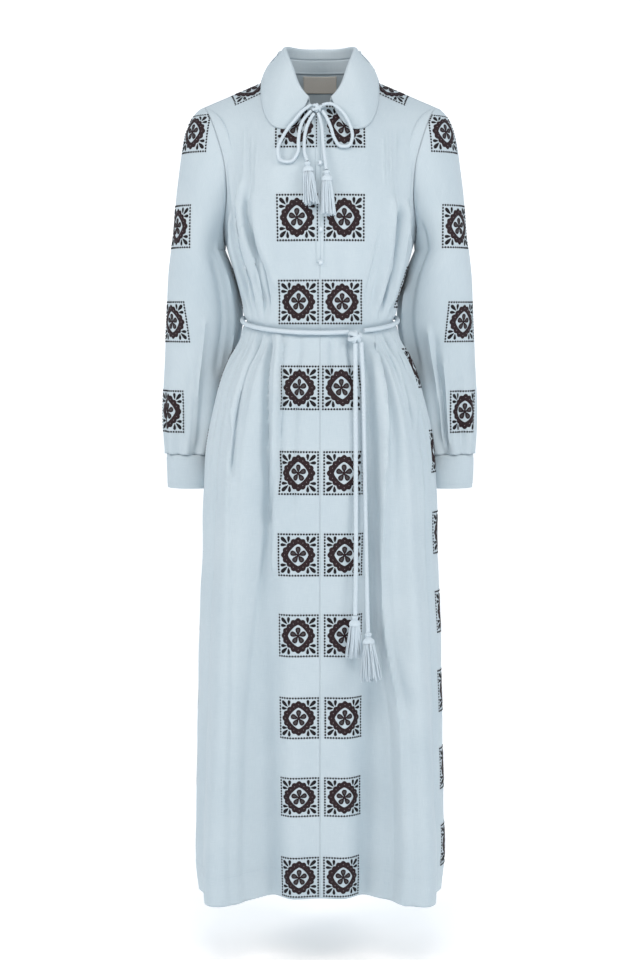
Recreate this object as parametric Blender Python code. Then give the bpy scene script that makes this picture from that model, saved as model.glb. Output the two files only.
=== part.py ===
"""A long shirt dress in pale blue cloth, in the hollow form it takes when worn, with no wearer.

Metres, +Z up. The front faces -Y and +X is the viewer's right. The origin is between the neck points
of the shoulders, where the wearer carries the dress. A turn is an angle round the body in degrees:
0 at the centre front, 90 at the +X side seam, 180 at the centre back, negative on the other side.
Each cloth piece is a wall of even thickness on a grid of rows (upwards) and columns (round the body).
"""
import math

import bmesh
import bpy
import numpy as np
from mathutils import Vector
from mathutils.bvhtree import BVHTree

# Driving sizes
CLOTH = 0.0015
SEAM_GAP = 0.0003
HEM_HEIGHT = -1.336
BELT_HEIGHT = -0.389
BELT_SAG = 0.020
YOKE_BASE = -0.280
BELT_CORD = 0.0075
TIE_CORD = 0.0056
COLLAR_STAND = 0.024
CUFF_TOP = -0.612
CUFF_END = -0.668
PLACKET_END = -0.300
BUTTON_DIAMETER = 0.0072

# Columns of the body grid, in degrees between neighbours, and where each edge of a panel turns
FRONT_STEP = 4.5
BACK_STEP = 6.0
FRONT_NECK_TURN = 31.5
FRONT_TIP_TURN = 58.5
BACK_TIP_TURN = 120.0
BACK_NECK_TURN = 150.0
YOKE_ROWS = 8

# Sections of the body: height, half width, reach to the front, reach to the back, y of the side line
SECTIONS = np.array((
    (-1.336, 0.2035, 0.100, 0.150, 0.000),
    (-1.300, 0.2070, 0.101, 0.149, -0.001),
    (-1.170, 0.2060, 0.103, 0.146, -0.004),
    (-1.003, 0.2020, 0.106, 0.142, -0.008),
    (-0.868, 0.1980, 0.110, 0.138, -0.012),
    (-0.768, 0.1930, 0.114, 0.134, -0.016),
    (-0.668, 0.1910, 0.118, 0.128, -0.018),
    (-0.586, 0.1850, 0.120, 0.121, -0.017),
    (-0.520, 0.1720, 0.119, 0.112, -0.014),
    (-0.454, 0.1505, 0.113, 0.099, -0.008),
    (-0.415, 0.1310, 0.104, 0.088, -0.002),
    (-0.389, 0.1225, 0.100, 0.084, 0.000),
    (-0.360, 0.1275, 0.105, 0.087, 0.000),
    (-0.320, 0.1385, 0.116, 0.095, 0.001),
    (-0.280, 0.1500, 0.125, 0.103, 0.002),
    (-0.240, 0.1600, 0.131, 0.109, 0.002),
))
ROW_HEIGHTS = (-1.336, -1.29, -1.20, -1.10, -1.00, -0.90, -0.80, -0.70, -0.62, -0.555,
               -0.50, -0.455, -0.42, -0.389, -0.36, -0.32, -0.28)

# Folds: turn at the belt, turn at the hem, half width at the belt and at the hem in degrees, then how far
# the cloth stands out (or in, if negative), in millimetres, at each of the fold heights
FOLD_HEIGHTS = (-0.10, -0.17, -0.28, -0.345, -0.389, -0.45, -0.60, -0.85, -1.10, -1.336)
FOLDS = (
    (-46, -47, 9, 13, 0, 0, 0, 0, 0, 3, 11, 27, 42, 56),
    (46, 47, 9, 13, 0, 0, 0, 0, 0, 4, 13, 29, 44, 58),
    (-28, -26, 7, 9, 0, 0, 0, 0, 0, 0, -9, -22, -34, -45),
    (27, 24, 7, 9, 0, 0, 0, 0, 0, -3, -12, -24, -34, -45),
    (0, 0, 14, 16, 0, 0, 0, 0, 0, 0, -3, -11, -20, -30),
    (-45, -41, 3, 4, 0, -3, -8, -8, 0, -8, -6, -3, 0, 0),
    (-54, -54, 3, 4, 0, -3, -6, -6, 0, -6, -3, 0, 0, 0),
    (-63, -66, 3, 5, 0, -3, -6, -6, 0, -5, -4, -3, -2, 0),
    (-72, -74, 3, 5, 0, -3, -5, -5, 0, -5, -2, 0, 0, 0),
    (40.5, 38, 3, 5, 0, 0, -3, -5, 0, -9, -9, -7, -5, -4),
    (49.5, 54, 3, 4, 0, -3, -7, -7, 0, -6, -4, -2, 0, 0),
    (63, 63, 3, 5, 0, -3, -6, -6, 0, -7, -4, -3, -3, -3),
    (72, 74, 3, 5, 0, -3, -5, -5, 0, -5, -2, 0, 0, 0),
    (-58, -60, 16, 18, 0, 2, 5, 4, 0, 3, 1, 0, 0, 0),
    (58, 60, 16, 18, 0, 2, 5, 4, 0, 3, 1, 0, 0, 0),
    (-18, -12, 5, 6, 0, 0, -2, -4, 0, -4, -2, 0, 0, 0),
    (16, 12, 5, 6, 0, 0, -2, -3, 0, -3, -1, 0, 0, 0),
    (114, 118, 6, 9, 0, 0, -3, -5, 0, -6, -4, 6, 14, 20),
    (132, 134, 6, 8, 0, 0, -4, -6, 0, -7, -8, -12, -15, -18),
    (150, 150, 6, 9, 0, 0, 3, 4, 0, 5, 10, 16, 20, 25),
    (168, 166, 6, 8, 0, 0, -4, -6, 0, -7, -9, -13, -16, -18),
    (-118, -116, 6, 9, 0, 0, -3, -5, 0, -6, -3, 5, 12, 18),
    (-136, -132, 6, 8, 0, 0, -4, -6, 0, -7, -8, -11, -13, -16),
    (-152, -149, 6, 9, 0, 0, 3, 4, 0, 5, 9, 17, 22, 27),
    (-168, -165, 6, 8, 0, 0, -4, -6, 0, -7, -8, -10, -12, -14),
)

# The neck seam, the shoulder seam and the armhole
NECK_HALF_WIDTH = 0.068
NECK_FRONT = (-0.078, -0.048)
NECK_BACK = (0.062, 0.018)
NECK_SIDE_TURN = 95.0
SHOULDER_TIP = (0.1895, 0.004, -0.0445)
ARMPIT_HEIGHT = -0.236
ARMHOLE_FRONT = 0.060
ARMHOLE_BACK = 0.058
# Armhole: turn from the shoulder tip down to the armpit, and the distance out from the centre there
ARMHOLE_OUT = np.array(((0, 0.1895), (30, 0.180), (60, 0.166), (90, 0.153), (120, 0.150), (150, 0.155), (180, 0.1605)))

# Sleeve sections: height, outer edge, inner edge, y of the middle, half depth
SLEEVE = np.array((
    (-0.275, 0.2430, 0.1640, 0.012, 0.056),
    (-0.307, 0.2465, 0.1505, 0.018, 0.057),
    (-0.345, 0.2500, 0.1390, 0.028, 0.057),
    (-0.389, 0.2530, 0.1320, 0.042, 0.056),
    (-0.438, 0.2555, 0.1370, 0.056, 0.054),
    (-0.490, 0.2590, 0.1480, 0.064, 0.052),
    (-0.540, 0.2597, 0.1560, 0.066, 0.050),
    (-0.585, 0.2585, 0.1640, 0.062, 0.046),
    (-0.6115, 0.2560, 0.1740, 0.056, 0.038),
))
SLEEVE_PLEATS = 9
SLEEVE_PLEAT_DEPTH = 0.0035

# Collar fold: turn round the neck, then its height over the neck seam and its reach in towards the neck
COLLAR_FOLD = np.array((
    (14, 0.0070, 0.000),
    (21, 0.0130, 0.001),
    (29, 0.0220, 0.002),
    (41, 0.0430, 0.004),
    (55, 0.0515, 0.008),
    (70, 0.0510, 0.012),
    (90, 0.0425, 0.014),
    (120, 0.0375, 0.012),
    (150, 0.0345, 0.008),
    (180, 0.0350, 0.006),
))
# Collar leaf: turn round the neck, then x, y and z of its free edge
LEAF_EDGE = np.array((
    (14, 0.0235, -0.0865, -0.0570),
    (20, 0.0365, -0.0925, -0.0764),
    (26, 0.0500, -0.0955, -0.0862),
    (33, 0.0640, -0.0942, -0.0868),
    (40, 0.0760, -0.0900, -0.0812),
    (48, 0.0856, -0.0785, -0.0686),
    (58, 0.0928, -0.0590, -0.0457),
    (70, 0.0957, -0.0310, -0.0210),
    (82, 0.0957, -0.0080, -0.0060),
    (95, 0.0950, 0.0120, 0.0010),
    (120, 0.0880, 0.0520, -0.0020),
    (150, 0.0540, 0.0820, -0.0080),
    (180, 0.0000, 0.0920, -0.0110),
))
# Extra columns of the leaf between two columns of the neck seam, near its front corners
LEAF_FRONT_COLUMNS = 2
# Buttons: their heights on the placket
BUTTON_HEIGHTS = (-0.143, -0.246, -0.2975)

# The belt's knot and the neck tie's knot: middle, then half sizes
BELT_KNOT = ((0.0552, -0.1040, -0.4157), (0.0115, 0.0085, 0.0100))
TIE_KNOT = ((-0.0051, -0.0925, -0.0545), (0.0082, 0.0070, 0.0078))
BELT_TURNS = (33.5, 380.8)

# Routes of the free cords, from their knots to their ends
BELT_TAIL_SHORT = ((0.0561, -0.1036, -0.4261), (0.0562, -0.1115, -0.4830), (0.0564, -0.1149, -0.5360),
                   (0.0567, -0.1165, -0.5893), (0.0570, -0.1170, -0.6427), (0.0573, -0.1170, -0.6966),
                   (0.0574, -0.1168, -0.7507), (0.0571, -0.1166, -0.8052), (0.0564, -0.1165, -0.8598))
BELT_TAIL_LONG = ((0.0655, -0.1025, -0.4244), (0.0682, -0.1079, -0.4835), (0.0693, -0.1102, -0.5402),
                  (0.0704, -0.1110, -0.5972), (0.0716, -0.1112, -0.6547), (0.0728, -0.1112, -0.7125),
                  (0.0740, -0.1112, -0.7709), (0.0753, -0.1114, -0.8295), (0.0768, -0.1120, -0.8882))
TIE_LOOP_LEFT = ((-0.0141, -0.0905, -0.0497), (-0.0195, -0.0925, -0.0532), (-0.0278, -0.0976, -0.0600),
                 (-0.0395, -0.1000, -0.0736), (-0.0506, -0.1010, -0.0875), (-0.0598, -0.1062, -0.1031),
                 (-0.0663, -0.1117, -0.1204), (-0.0620, -0.1170, -0.1378), (-0.0454, -0.1182, -0.1400),
                 (-0.0351, -0.1160, -0.1260), (-0.0340, -0.1102, -0.1073), (-0.0318, -0.1030, -0.0891),
                 (-0.0262, -0.0965, -0.0735), (-0.0190, -0.0930, -0.0640), (-0.0138, -0.0920, -0.0590))
TIE_LOOP_RIGHT = ((0.0037, -0.0905, -0.0500), (0.0110, -0.0912, -0.0480), (0.0183, -0.0940, -0.0486),
                  (0.0315, -0.0984, -0.0575), (0.0415, -0.0998, -0.0700), (0.0481, -0.1012, -0.0844),
                  (0.0510, -0.1058, -0.1010), (0.0450, -0.1114, -0.1150), (0.0323, -0.1117, -0.1159),
                  (0.0225, -0.1085, -0.1031), (0.0175, -0.1028, -0.0872), (0.0112, -0.0965, -0.0715),
                  (0.0040, -0.0920, -0.0590))
TIE_TAIL_LEFT = ((-0.0098, -0.0930, -0.0636), (-0.0150, -0.0960, -0.0720), (-0.0205, -0.1010, -0.0840),
                 (-0.0238, -0.1060, -0.0980), (-0.0248, -0.1110, -0.1120), (-0.0242, -0.1165, -0.1270),
                 (-0.0200, -0.1220, -0.1402))
TIE_TAIL_RIGHT = ((-0.0030, -0.0925, -0.0629), (0.0006, -0.0965, -0.0745), (0.0030, -0.1024, -0.0880),
                  (0.0040, -0.1089, -0.1014), (0.0056, -0.1150, -0.1191), (0.0077, -0.1216, -0.1367),
                  (0.0098, -0.1275, -0.1541))

# Tassels: top, end, width of the head
TASSELS = {
    "tassel_tie_left": ((-0.0198, -0.1232, -0.1412), (-0.0142, -0.1440, -0.2080), 0.0205),
    "tassel_tie_right": ((0.0102, -0.1285, -0.1550), (0.0132, -0.1455, -0.2252), 0.0205),
    "tassel_belt_short": ((0.0562, -0.1165, -0.8604), (0.0548, -0.1060, -0.9304), 0.0230),
    "tassel_belt_long": ((0.0772, -0.1122, -0.8888), (0.0816, -0.1370, -0.9628), 0.0230),
}
TASSEL_FLATNESS = 0.62
LEAF_ROLL = 0.0075
STAND_SHARE = 0.6


def smooth(value, knots, heights):
    """A curve with no corners through knots: each stretch is a cubic whose slopes are those between the
    neighbouring knots. Knots may rise or fall."""
    knots = np.asarray(knots, float)
    heights = np.asarray(heights, float)
    if knots[0] > knots[-1]:
        knots, heights = knots[::-1], heights[::-1]
    value = np.clip(value, knots[0], knots[-1])
    slope = np.gradient(heights, knots)
    low = np.clip(np.searchsorted(knots, value, side="right") - 1, 0, len(knots) - 2)
    span = knots[low + 1] - knots[low]
    t = (value - knots[low]) / span
    return ((2 * t**3 - 3 * t**2 + 1) * heights[low] + (t**3 - 2 * t**2 + t) * span * slope[low]
            + (3 * t**2 - 2 * t**3) * heights[low + 1] + (t**3 - t**2) * span * slope[low + 1])


def fold_offset(turn, height):
    """How far the folds move the cloth out, in metres: a bell-shaped ridge or trough for each fold."""
    total = np.zeros(np.broadcast(turn, height).shape)
    down = np.clip((BELT_HEIGHT - height) / (BELT_HEIGHT - HEM_HEIGHT), 0, 1)
    for belt_turn, hem_turn, belt_half, hem_half, *depths in FOLDS:
        centre = belt_turn + (hem_turn - belt_turn) * down
        half = belt_half + (hem_half - belt_half) * down
        away = (turn - centre + 180) % 360 - 180
        total += 0.001 * smooth(height, FOLD_HEIGHTS, depths) * np.exp(-((away / half) ** 2))
    return total


def body_ring(turn, height):
    """The body below the yoke: two half ellipses, front and back, on a common side line, moved out along
    their normal by the folds. The belt's sag lowers the rows near it at the front."""
    angle = np.radians(turn)
    half, front, back, side = (smooth(height, SECTIONS[:, 0], SECTIONS[:, k]) for k in (1, 2, 3, 4))
    reach = np.where(np.cos(angle) > 0, front + side, back - side)
    x = half * np.sin(angle)
    y = side - reach * np.cos(angle)
    normal_x = np.sin(angle) * reach
    normal_y = -np.cos(angle) * half
    size = np.hypot(normal_x, normal_y)
    out = fold_offset(turn, height)
    near_belt = np.exp(-(((height - BELT_HEIGHT) / 0.08) ** 2))
    z = height - BELT_SAG * near_belt * np.clip(np.cos(angle), -0.2, 1)
    return np.stack((x + out * normal_x / size, y + out * normal_y / size, z + 0 * x), axis=-1)


def neck_seam(angle):
    """The seam of the neck at an angle from its front: an ellipse in plan that drops to the front."""
    middle = (NECK_FRONT[0] + NECK_BACK[0]) / 2
    reach = (NECK_BACK[0] - NECK_FRONT[0]) / 2
    drop = ((1 + np.cos(angle)) / 2) ** 2.2
    x = NECK_HALF_WIDTH * np.sin(angle)
    y = middle - reach * np.cos(angle)
    z = NECK_BACK[1] + (NECK_FRONT[1] - NECK_BACK[1]) * drop
    return np.stack((x, y, z), axis=-1)


def armhole(drop, front):
    """The armhole edge on the +X side: drop is 0 at the shoulder tip and 180 at the armpit."""
    angle = np.radians(drop)
    reach = np.where(front, -ARMHOLE_FRONT, ARMHOLE_BACK)
    x = smooth(drop, ARMHOLE_OUT[:, 0], ARMHOLE_OUT[:, 1])
    y = SHOULDER_TIP[1] * (1 + np.cos(angle)) / 2 + reach * np.sin(angle)
    z = (SHOULDER_TIP[2] + ARMPIT_HEIGHT) / 2 + (SHOULDER_TIP[2] - ARMPIT_HEIGHT) / 2 * np.cos(angle)
    return np.stack((x, y, z), axis=-1)


def panel_top(turn):
    """The upper edge of the body at a turn and the direction in which the cloth reaches it: the neck
    seam, then the shoulder seam, then the armhole down to the armpit at 90 degrees."""
    size = abs(turn)
    sign = 1.0 if turn >= 0 else -1.0
    front = size <= 90
    back = -1.0 if front else 1.0
    neck_turn = FRONT_NECK_TURN if front else BACK_NECK_TURN
    tip_turn = FRONT_TIP_TURN if front else BACK_TIP_TURN
    neck_side = NECK_SIDE_TURN
    if (size - neck_turn) * back >= 0:
        share = size / neck_turn if front else (180 - size) / (180 - neck_turn)
        point = neck_seam(math.radians(share * neck_side if front else 180 - share * (180 - neck_side)))
        arrive = np.array((0.10 * share, -back * 0.45, 0.90))
        blend = share**2
        arrive = (1 - blend) * arrive + blend * np.array((0, -back * 0.93, 0.37))
    elif (size - tip_turn) * back >= 0:
        share = (size - neck_turn) / (tip_turn - neck_turn)
        point = (1 - share) * neck_seam(math.radians(neck_side)) + share * np.array(SHOULDER_TIP)
        arrive = np.array((0.7 * share, -back * 0.93, 0.37))
    else:
        share = (size - tip_turn) / (90 - tip_turn)
        point = armhole(180 * share, front)
        arrive = (1 - share) * np.array((0.7, -back * 0.93, 0.37)) + share * np.array((0.15, 0, 0.95))
        arrive[0] += 0.9 * math.sin(math.pi * share**0.6)
    arrive = arrive / np.linalg.norm(arrive)
    flip = np.array((sign, 1, 1))
    return point * flip, arrive * flip


def yoke_column(turn, share):
    """A column of the body above the yoke base: a cubic curve that leaves the last ring in line with the
    cloth below and reaches the upper edge in that edge's own direction. share runs from 0 to 1."""
    turn_array = np.array(float(turn))
    base = body_ring(turn_array, np.array(YOKE_BASE))
    below = body_ring(turn_array, np.array(YOKE_BASE - 0.01))
    leave = (base - below) / np.linalg.norm(base - below)
    top, arrive = panel_top(turn)
    reach = np.linalg.norm(top - base) * 0.36
    share = np.asarray(share, float)[:, None]
    curve = ((1 - share) ** 3 * base + 3 * (1 - share) ** 2 * share * (base + leave * reach)
             + 3 * (1 - share) * share**2 * (top - arrive * reach) + share**3 * top)
    plain = fold_offset(turn_array, np.array(YOKE_BASE))
    folded = fold_offset(turn_array, curve[:, 2]) - plain * (1 - share[:, 0]) ** 2
    outward = np.array((math.sin(math.radians(turn)), -math.cos(math.radians(turn)), 0))
    fade = np.minimum(1, 4 * (1 - share[:, 0]))
    return curve + (folded * np.minimum(1, 3 * share[:, 0]) * fade)[:, None] * outward


def body_grid(turns, yoke_rows=YOKE_ROWS, heights=ROW_HEIGHTS):
    """Points of the body's outer face, rows from the hem up, columns at the given turns."""
    rings = [body_ring(np.asarray(turns, float), np.full(len(turns), height)) for height in heights]
    shares = np.linspace(0, 1, yoke_rows + 1)[1:]
    yoke = np.stack([yoke_column(turn, shares) for turn in turns], axis=1)
    return np.concatenate((np.stack(rings), yoke))


def grid_normals(points, closed):
    """The outward unit normal at each grid point: the cross product of the directions along the columns
    and up the rows."""
    if closed:
        along = np.roll(points, -1, axis=1) - np.roll(points, 1, axis=1)
    else:
        along = np.gradient(points, axis=1)
    up = np.gradient(points, axis=0)
    normal = np.cross(along, up)
    return normal / np.linalg.norm(normal, axis=-1, keepdims=True)


def material(name, colour, roughness, metallic=0.0):
    """A Principled material in one colour."""
    made = bpy.data.materials.new(name)
    made.use_nodes = True
    shader = made.node_tree.nodes["Principled BSDF"]
    shader.inputs["Base Color"].default_value = (*colour, 1.0)
    shader.inputs["Roughness"].default_value = roughness
    shader.inputs["Metallic"].default_value = metallic
    return made


def add_object(name, mesh, finish):
    """Link a mesh or curve as one named sub-part in its material."""
    mesh.materials.append(finish)
    made = bpy.data.objects.new(name, mesh)
    bpy.context.scene.collection.objects.link(made)
    return made


def add_wall(name, outer, inner, closed, finish):
    """A closed wall between two grids of points. Each cell is cut along the same diagonal on both
    faces, so the wall keeps its thickness. A closed wall joins its last column to its first."""
    rows, columns = outer.shape[:2]
    count = rows * columns
    index = np.arange(count).reshape(rows, columns)
    if closed:
        index = np.concatenate((index, index[:, :1]), axis=1)
    faces = []
    for row in range(rows - 1):
        for column in range(index.shape[1] - 1):
            a, b = index[row, column], index[row, column + 1]
            c, d = index[row + 1, column + 1], index[row + 1, column]
            faces += [(a, b, c), (a, c, d), (a + count, c + count, b + count), (a + count, d + count, c + count)]
    for column in range(index.shape[1] - 1):
        a, b = index[0, column], index[0, column + 1]
        faces += [(a, b + count, b), (a, a + count, b + count)]
        a, b = index[-1, column], index[-1, column + 1]
        faces += [(a, b, b + count), (a, b + count, a + count)]
    if not closed:
        for row in range(rows - 1):
            a, b = index[row, 0], index[row + 1, 0]
            faces += [(a, b, b + count), (a, b + count, a + count)]
            a, b = index[row, -1], index[row + 1, -1]
            faces += [(b, a, b + count), (b + count, a, a + count)]
    points = np.concatenate((outer.reshape(-1, 3), inner.reshape(-1, 3)))
    mesh = bpy.data.meshes.new(name)
    mesh.from_pydata([tuple(map(float, point)) for point in points], [], [tuple(map(int, f)) for f in faces])
    mesh.update()
    mesh.shade_smooth()
    mesh.set_sharp_from_angle(angle=math.radians(50))
    return add_object(name, mesh, finish)


def pull_in(points, side, gap):
    """Move the first (side 0) or last (side -1) column towards its neighbour by the gap."""
    neighbour = 1 if side == 0 else -2
    away = points[:, neighbour] - points[:, side]
    points[:, side] += gap * away / np.linalg.norm(away, axis=-1, keepdims=True)


def surface_tree(grids):
    """A search tree of the outer faces of some grids."""
    points = []
    faces = []
    for grid in grids:
        start = len(points)
        rows, columns = grid.shape[:2]
        points += [Vector(point) for point in grid.reshape(-1, 3)]
        for row in range(rows - 1):
            for column in range(columns - 1):
                a = start + row * columns + column
                faces += [(a, a + 1, a + columns + 1), (a, a + columns + 1, a + columns)]
    return BVHTree.FromPolygons(points, faces)


def keep_off(points, tree, gap):
    """Move each point that is nearer to the tree's faces than the gap out along their normal."""
    moved = points.copy()
    for place in np.ndindex(points.shape[:-1]):
        point = Vector(points[place])
        nearest, normal, _, _ = tree.find_nearest(point)
        height = (point - nearest).dot(normal)
        if height < gap:
            moved[place] = point + (gap - height) * normal
    return moved


def curve_through(knots, spacing):
    """Points at an even spacing along a smooth curve through the knots."""
    knots = np.asarray(knots, float)
    steps = np.concatenate(((0,), np.cumsum(np.linalg.norm(np.diff(knots, axis=0), axis=1))))
    fine = np.linspace(0, steps[-1], 400)
    path = np.stack([smooth(fine, steps, knots[:, k]) for k in range(3)], axis=-1)
    length = np.concatenate(((0,), np.cumsum(np.linalg.norm(np.diff(path, axis=0), axis=1))))
    count = max(4, round(length[-1] / spacing) + 1)
    even = np.linspace(0, length[-1], count)
    return np.stack([np.interp(even, length, path[:, k]) for k in range(3)], axis=-1)


def add_cord(name, knots, diameter, finish):
    """A round cord along a smooth route, as a tube with filled ends."""
    points = curve_through(knots, 2.8 * diameter)
    curve = bpy.data.curves.new(name, "CURVE")
    curve.dimensions = "3D"
    curve.bevel_depth = diameter / 2
    curve.bevel_resolution = 2
    curve.use_fill_caps = True
    spline = curve.splines.new("POLY")
    spline.points.add(len(points) - 1)
    spline.points.foreach_set("co", np.concatenate((points, np.ones((len(points), 1))), axis=1).ravel())
    return add_object(name, curve, finish)


def add_turned(name, centre, profile, sides, finish, scale=(1, 1, 1)):
    """A solid turned round a vertical axis: profile rows are (radius, height), both ends on the axis."""
    made = bmesh.new()
    rings = []
    for radius, height in profile:
        count = 1 if radius == 0 else sides
        rings.append([made.verts.new((
            centre[0] + scale[0] * radius * math.cos(math.tau * k / sides),
            centre[1] + scale[1] * radius * math.sin(math.tau * k / sides),
            centre[2] + scale[2] * height)) for k in range(count)])
    for low, high in zip(rings, rings[1:]):
        for k in range(sides):
            corners = [low[k % len(low)], low[(k + 1) % len(low)], high[(k + 1) % len(high)], high[k % len(high)]]
            made.faces.new(list(dict.fromkeys(corners)))
    bmesh.ops.recalc_face_normals(made, faces=made.faces)
    mesh = bpy.data.meshes.new(name)
    made.to_mesh(mesh)
    made.free()
    mesh.shade_smooth()
    mesh.set_sharp_from_angle(angle=math.radians(50))
    return add_object(name, mesh, finish)


def add_tassel(name, top, end, width, finish, sides=8):
    """A tassel: a bound neck and a rounded head, with two rings of strands that are fused only to its
    underside and hang apart. It runs from the top, where its cord ends, to the end of its strands, and
    is flattened from front to back where it lies on the cloth."""
    made = bmesh.new()
    top = Vector(top)
    axis = Vector(end) - top
    head = 0.28
    radius = width / 2
    profile = ((0.30, 0.0), (0.36, 0.20), (0.50, 0.28), (0.86, 0.50), (1.0, 0.75), (0.96, 1.0), (0.55, 1.0), (0.14, 1.0))
    rings = []
    for out, down in profile:
        middle = top + axis * head * down
        rings.append([made.verts.new(middle + Vector((
            radius * out * math.cos(math.tau * k / sides),
            TASSEL_FLATNESS * radius * out * math.sin(math.tau * k / sides), 0))) for k in range(sides)])
    roots = []
    for place, (high, low) in enumerate(zip(rings, rings[1:])):
        for k in range(sides):
            face = made.faces.new((high[k], low[k], low[(k + 1) % sides], high[(k + 1) % sides]))
            if place >= len(rings) - 3:
                roots.append(face)
    made.faces.new(rings[0])
    made.faces.new(rings[-1][::-1])
    bmesh.ops.recalc_face_normals(made, faces=made.faces)
    bmesh.ops.inset_individual(made, faces=roots, thickness=0.0003)
    base = top + axis * head
    for _ in range(2):
        roots = bmesh.ops.extrude_discrete_faces(made, faces=roots)["faces"]
        base += axis * (1 - head) / 2
        for number, root in enumerate(roots):
            middle = root.calc_center_median()
            across = Vector((middle.x - base.x + axis.x * (1 - head) / 2, 0, 0)) * 0.13
            sway = Vector((math.sin(2.4 * number), 0.4 * math.cos(1.7 * number), 0)) * 0.0005
            fall = axis * (1 - head) / 2 * (1 + 0.05 * math.sin(1.3 * number))
            for vertex in root.verts:
                vertex.co += across + sway + fall
    mesh = bpy.data.meshes.new(name)
    made.to_mesh(mesh)
    made.free()
    return add_object(name, mesh, finish)


def make_body(cloth):
    """The two fronts and the back, and the grids that other pieces start from."""
    front_count = round(90 / FRONT_STEP)
    back_count = round(90 / BACK_STEP)
    right_front = [FRONT_STEP * k for k in range(front_count + 1)]
    right_back = [90 + BACK_STEP * k for k in range(1, back_count + 1)]
    turns = right_front + right_back + [t - 360 for t in (360 - np.array(right_back[-2::-1]))] \
        + [-t for t in right_front[:0:-1]]
    outer = body_grid(turns)
    normals = grid_normals(outer, closed=True)
    slope = np.array(SHOULDER_TIP) - neck_seam(math.radians(NECK_SIDE_TURN))
    for column, turn in enumerate(turns):
        if on_shoulder(turn):
            upright = np.array((-slope[2] * np.sign(turn), 0, slope[0]))
            normals[-1, column] = upright / np.linalg.norm(upright)
    for sign in (1, -1):
        places = armhole_columns(turns, sign)
        away = armhole_away(outer[-1, places], sign)
        towards = np.minimum(0, np.sum(normals[-1, places] * away, axis=-1, keepdims=True))
        normal = normals[-1, places] - towards * away
        normals[-1, places] = normal / np.linalg.norm(normal, axis=-1, keepdims=True)
    inner = outer - CLOTH * normals
    side = front_count
    other_side = len(turns) - front_count
    spans = {
        "front_right": list(range(0, side + 1)),
        "back": list(range(side, other_side + 1)),
        "front_left": list(range(other_side, len(turns))) + [0],
    }
    for name, columns in spans.items():
        faces = []
        for grid in (outer, inner):
            piece = grid[:, columns].copy()
            pull_in(piece, 0, SEAM_GAP / 2)
            pull_in(piece, -1, SEAM_GAP / 2)
            shoulder_gap = -SEAM_GAP / 2 if name != "back" else SEAM_GAP / 2
            for place, column in enumerate(columns):
                if on_shoulder(turns[column]):
                    piece[-1, place, 1] += shoulder_gap
            faces.append(piece)
        add_wall(name, faces[0], faces[1], False, cloth[name])
    return turns, outer, normals


def on_shoulder(turn):
    """Whether a column of the body ends at the shoulder seam."""
    size = abs(turn)
    return FRONT_NECK_TURN <= size <= FRONT_TIP_TURN or BACK_TIP_TURN <= size <= BACK_NECK_TURN


def armhole_columns(turns, sign):
    """The places of the armhole's columns on one side, from the shoulder tip down the front and up the
    back."""
    front = [t for t in turns if FRONT_TIP_TURN - 0.1 <= t * sign <= 90]
    back = [t for t in turns if 90 < t * sign < BACK_TIP_TURN - 0.1]
    return ring_columns(turns, sorted(front, key=abs) + sorted(back, key=abs))


def armhole_away(edge, sign):
    """The sideways direction off the armhole at each of its points, square to its edge."""
    tangent = np.roll(edge, -1, axis=0) - np.roll(edge, 1, axis=0)
    tangent /= np.linalg.norm(tangent, axis=-1, keepdims=True)
    away = np.array((float(sign), 0, 0)) - sign * tangent[:, :1] * tangent
    return away / np.linalg.norm(away, axis=-1, keepdims=True)


def ring_columns(turns, wanted):
    """The places of some turns in the list of turns."""
    return [turns.index(turn) for turn in wanted]


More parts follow.
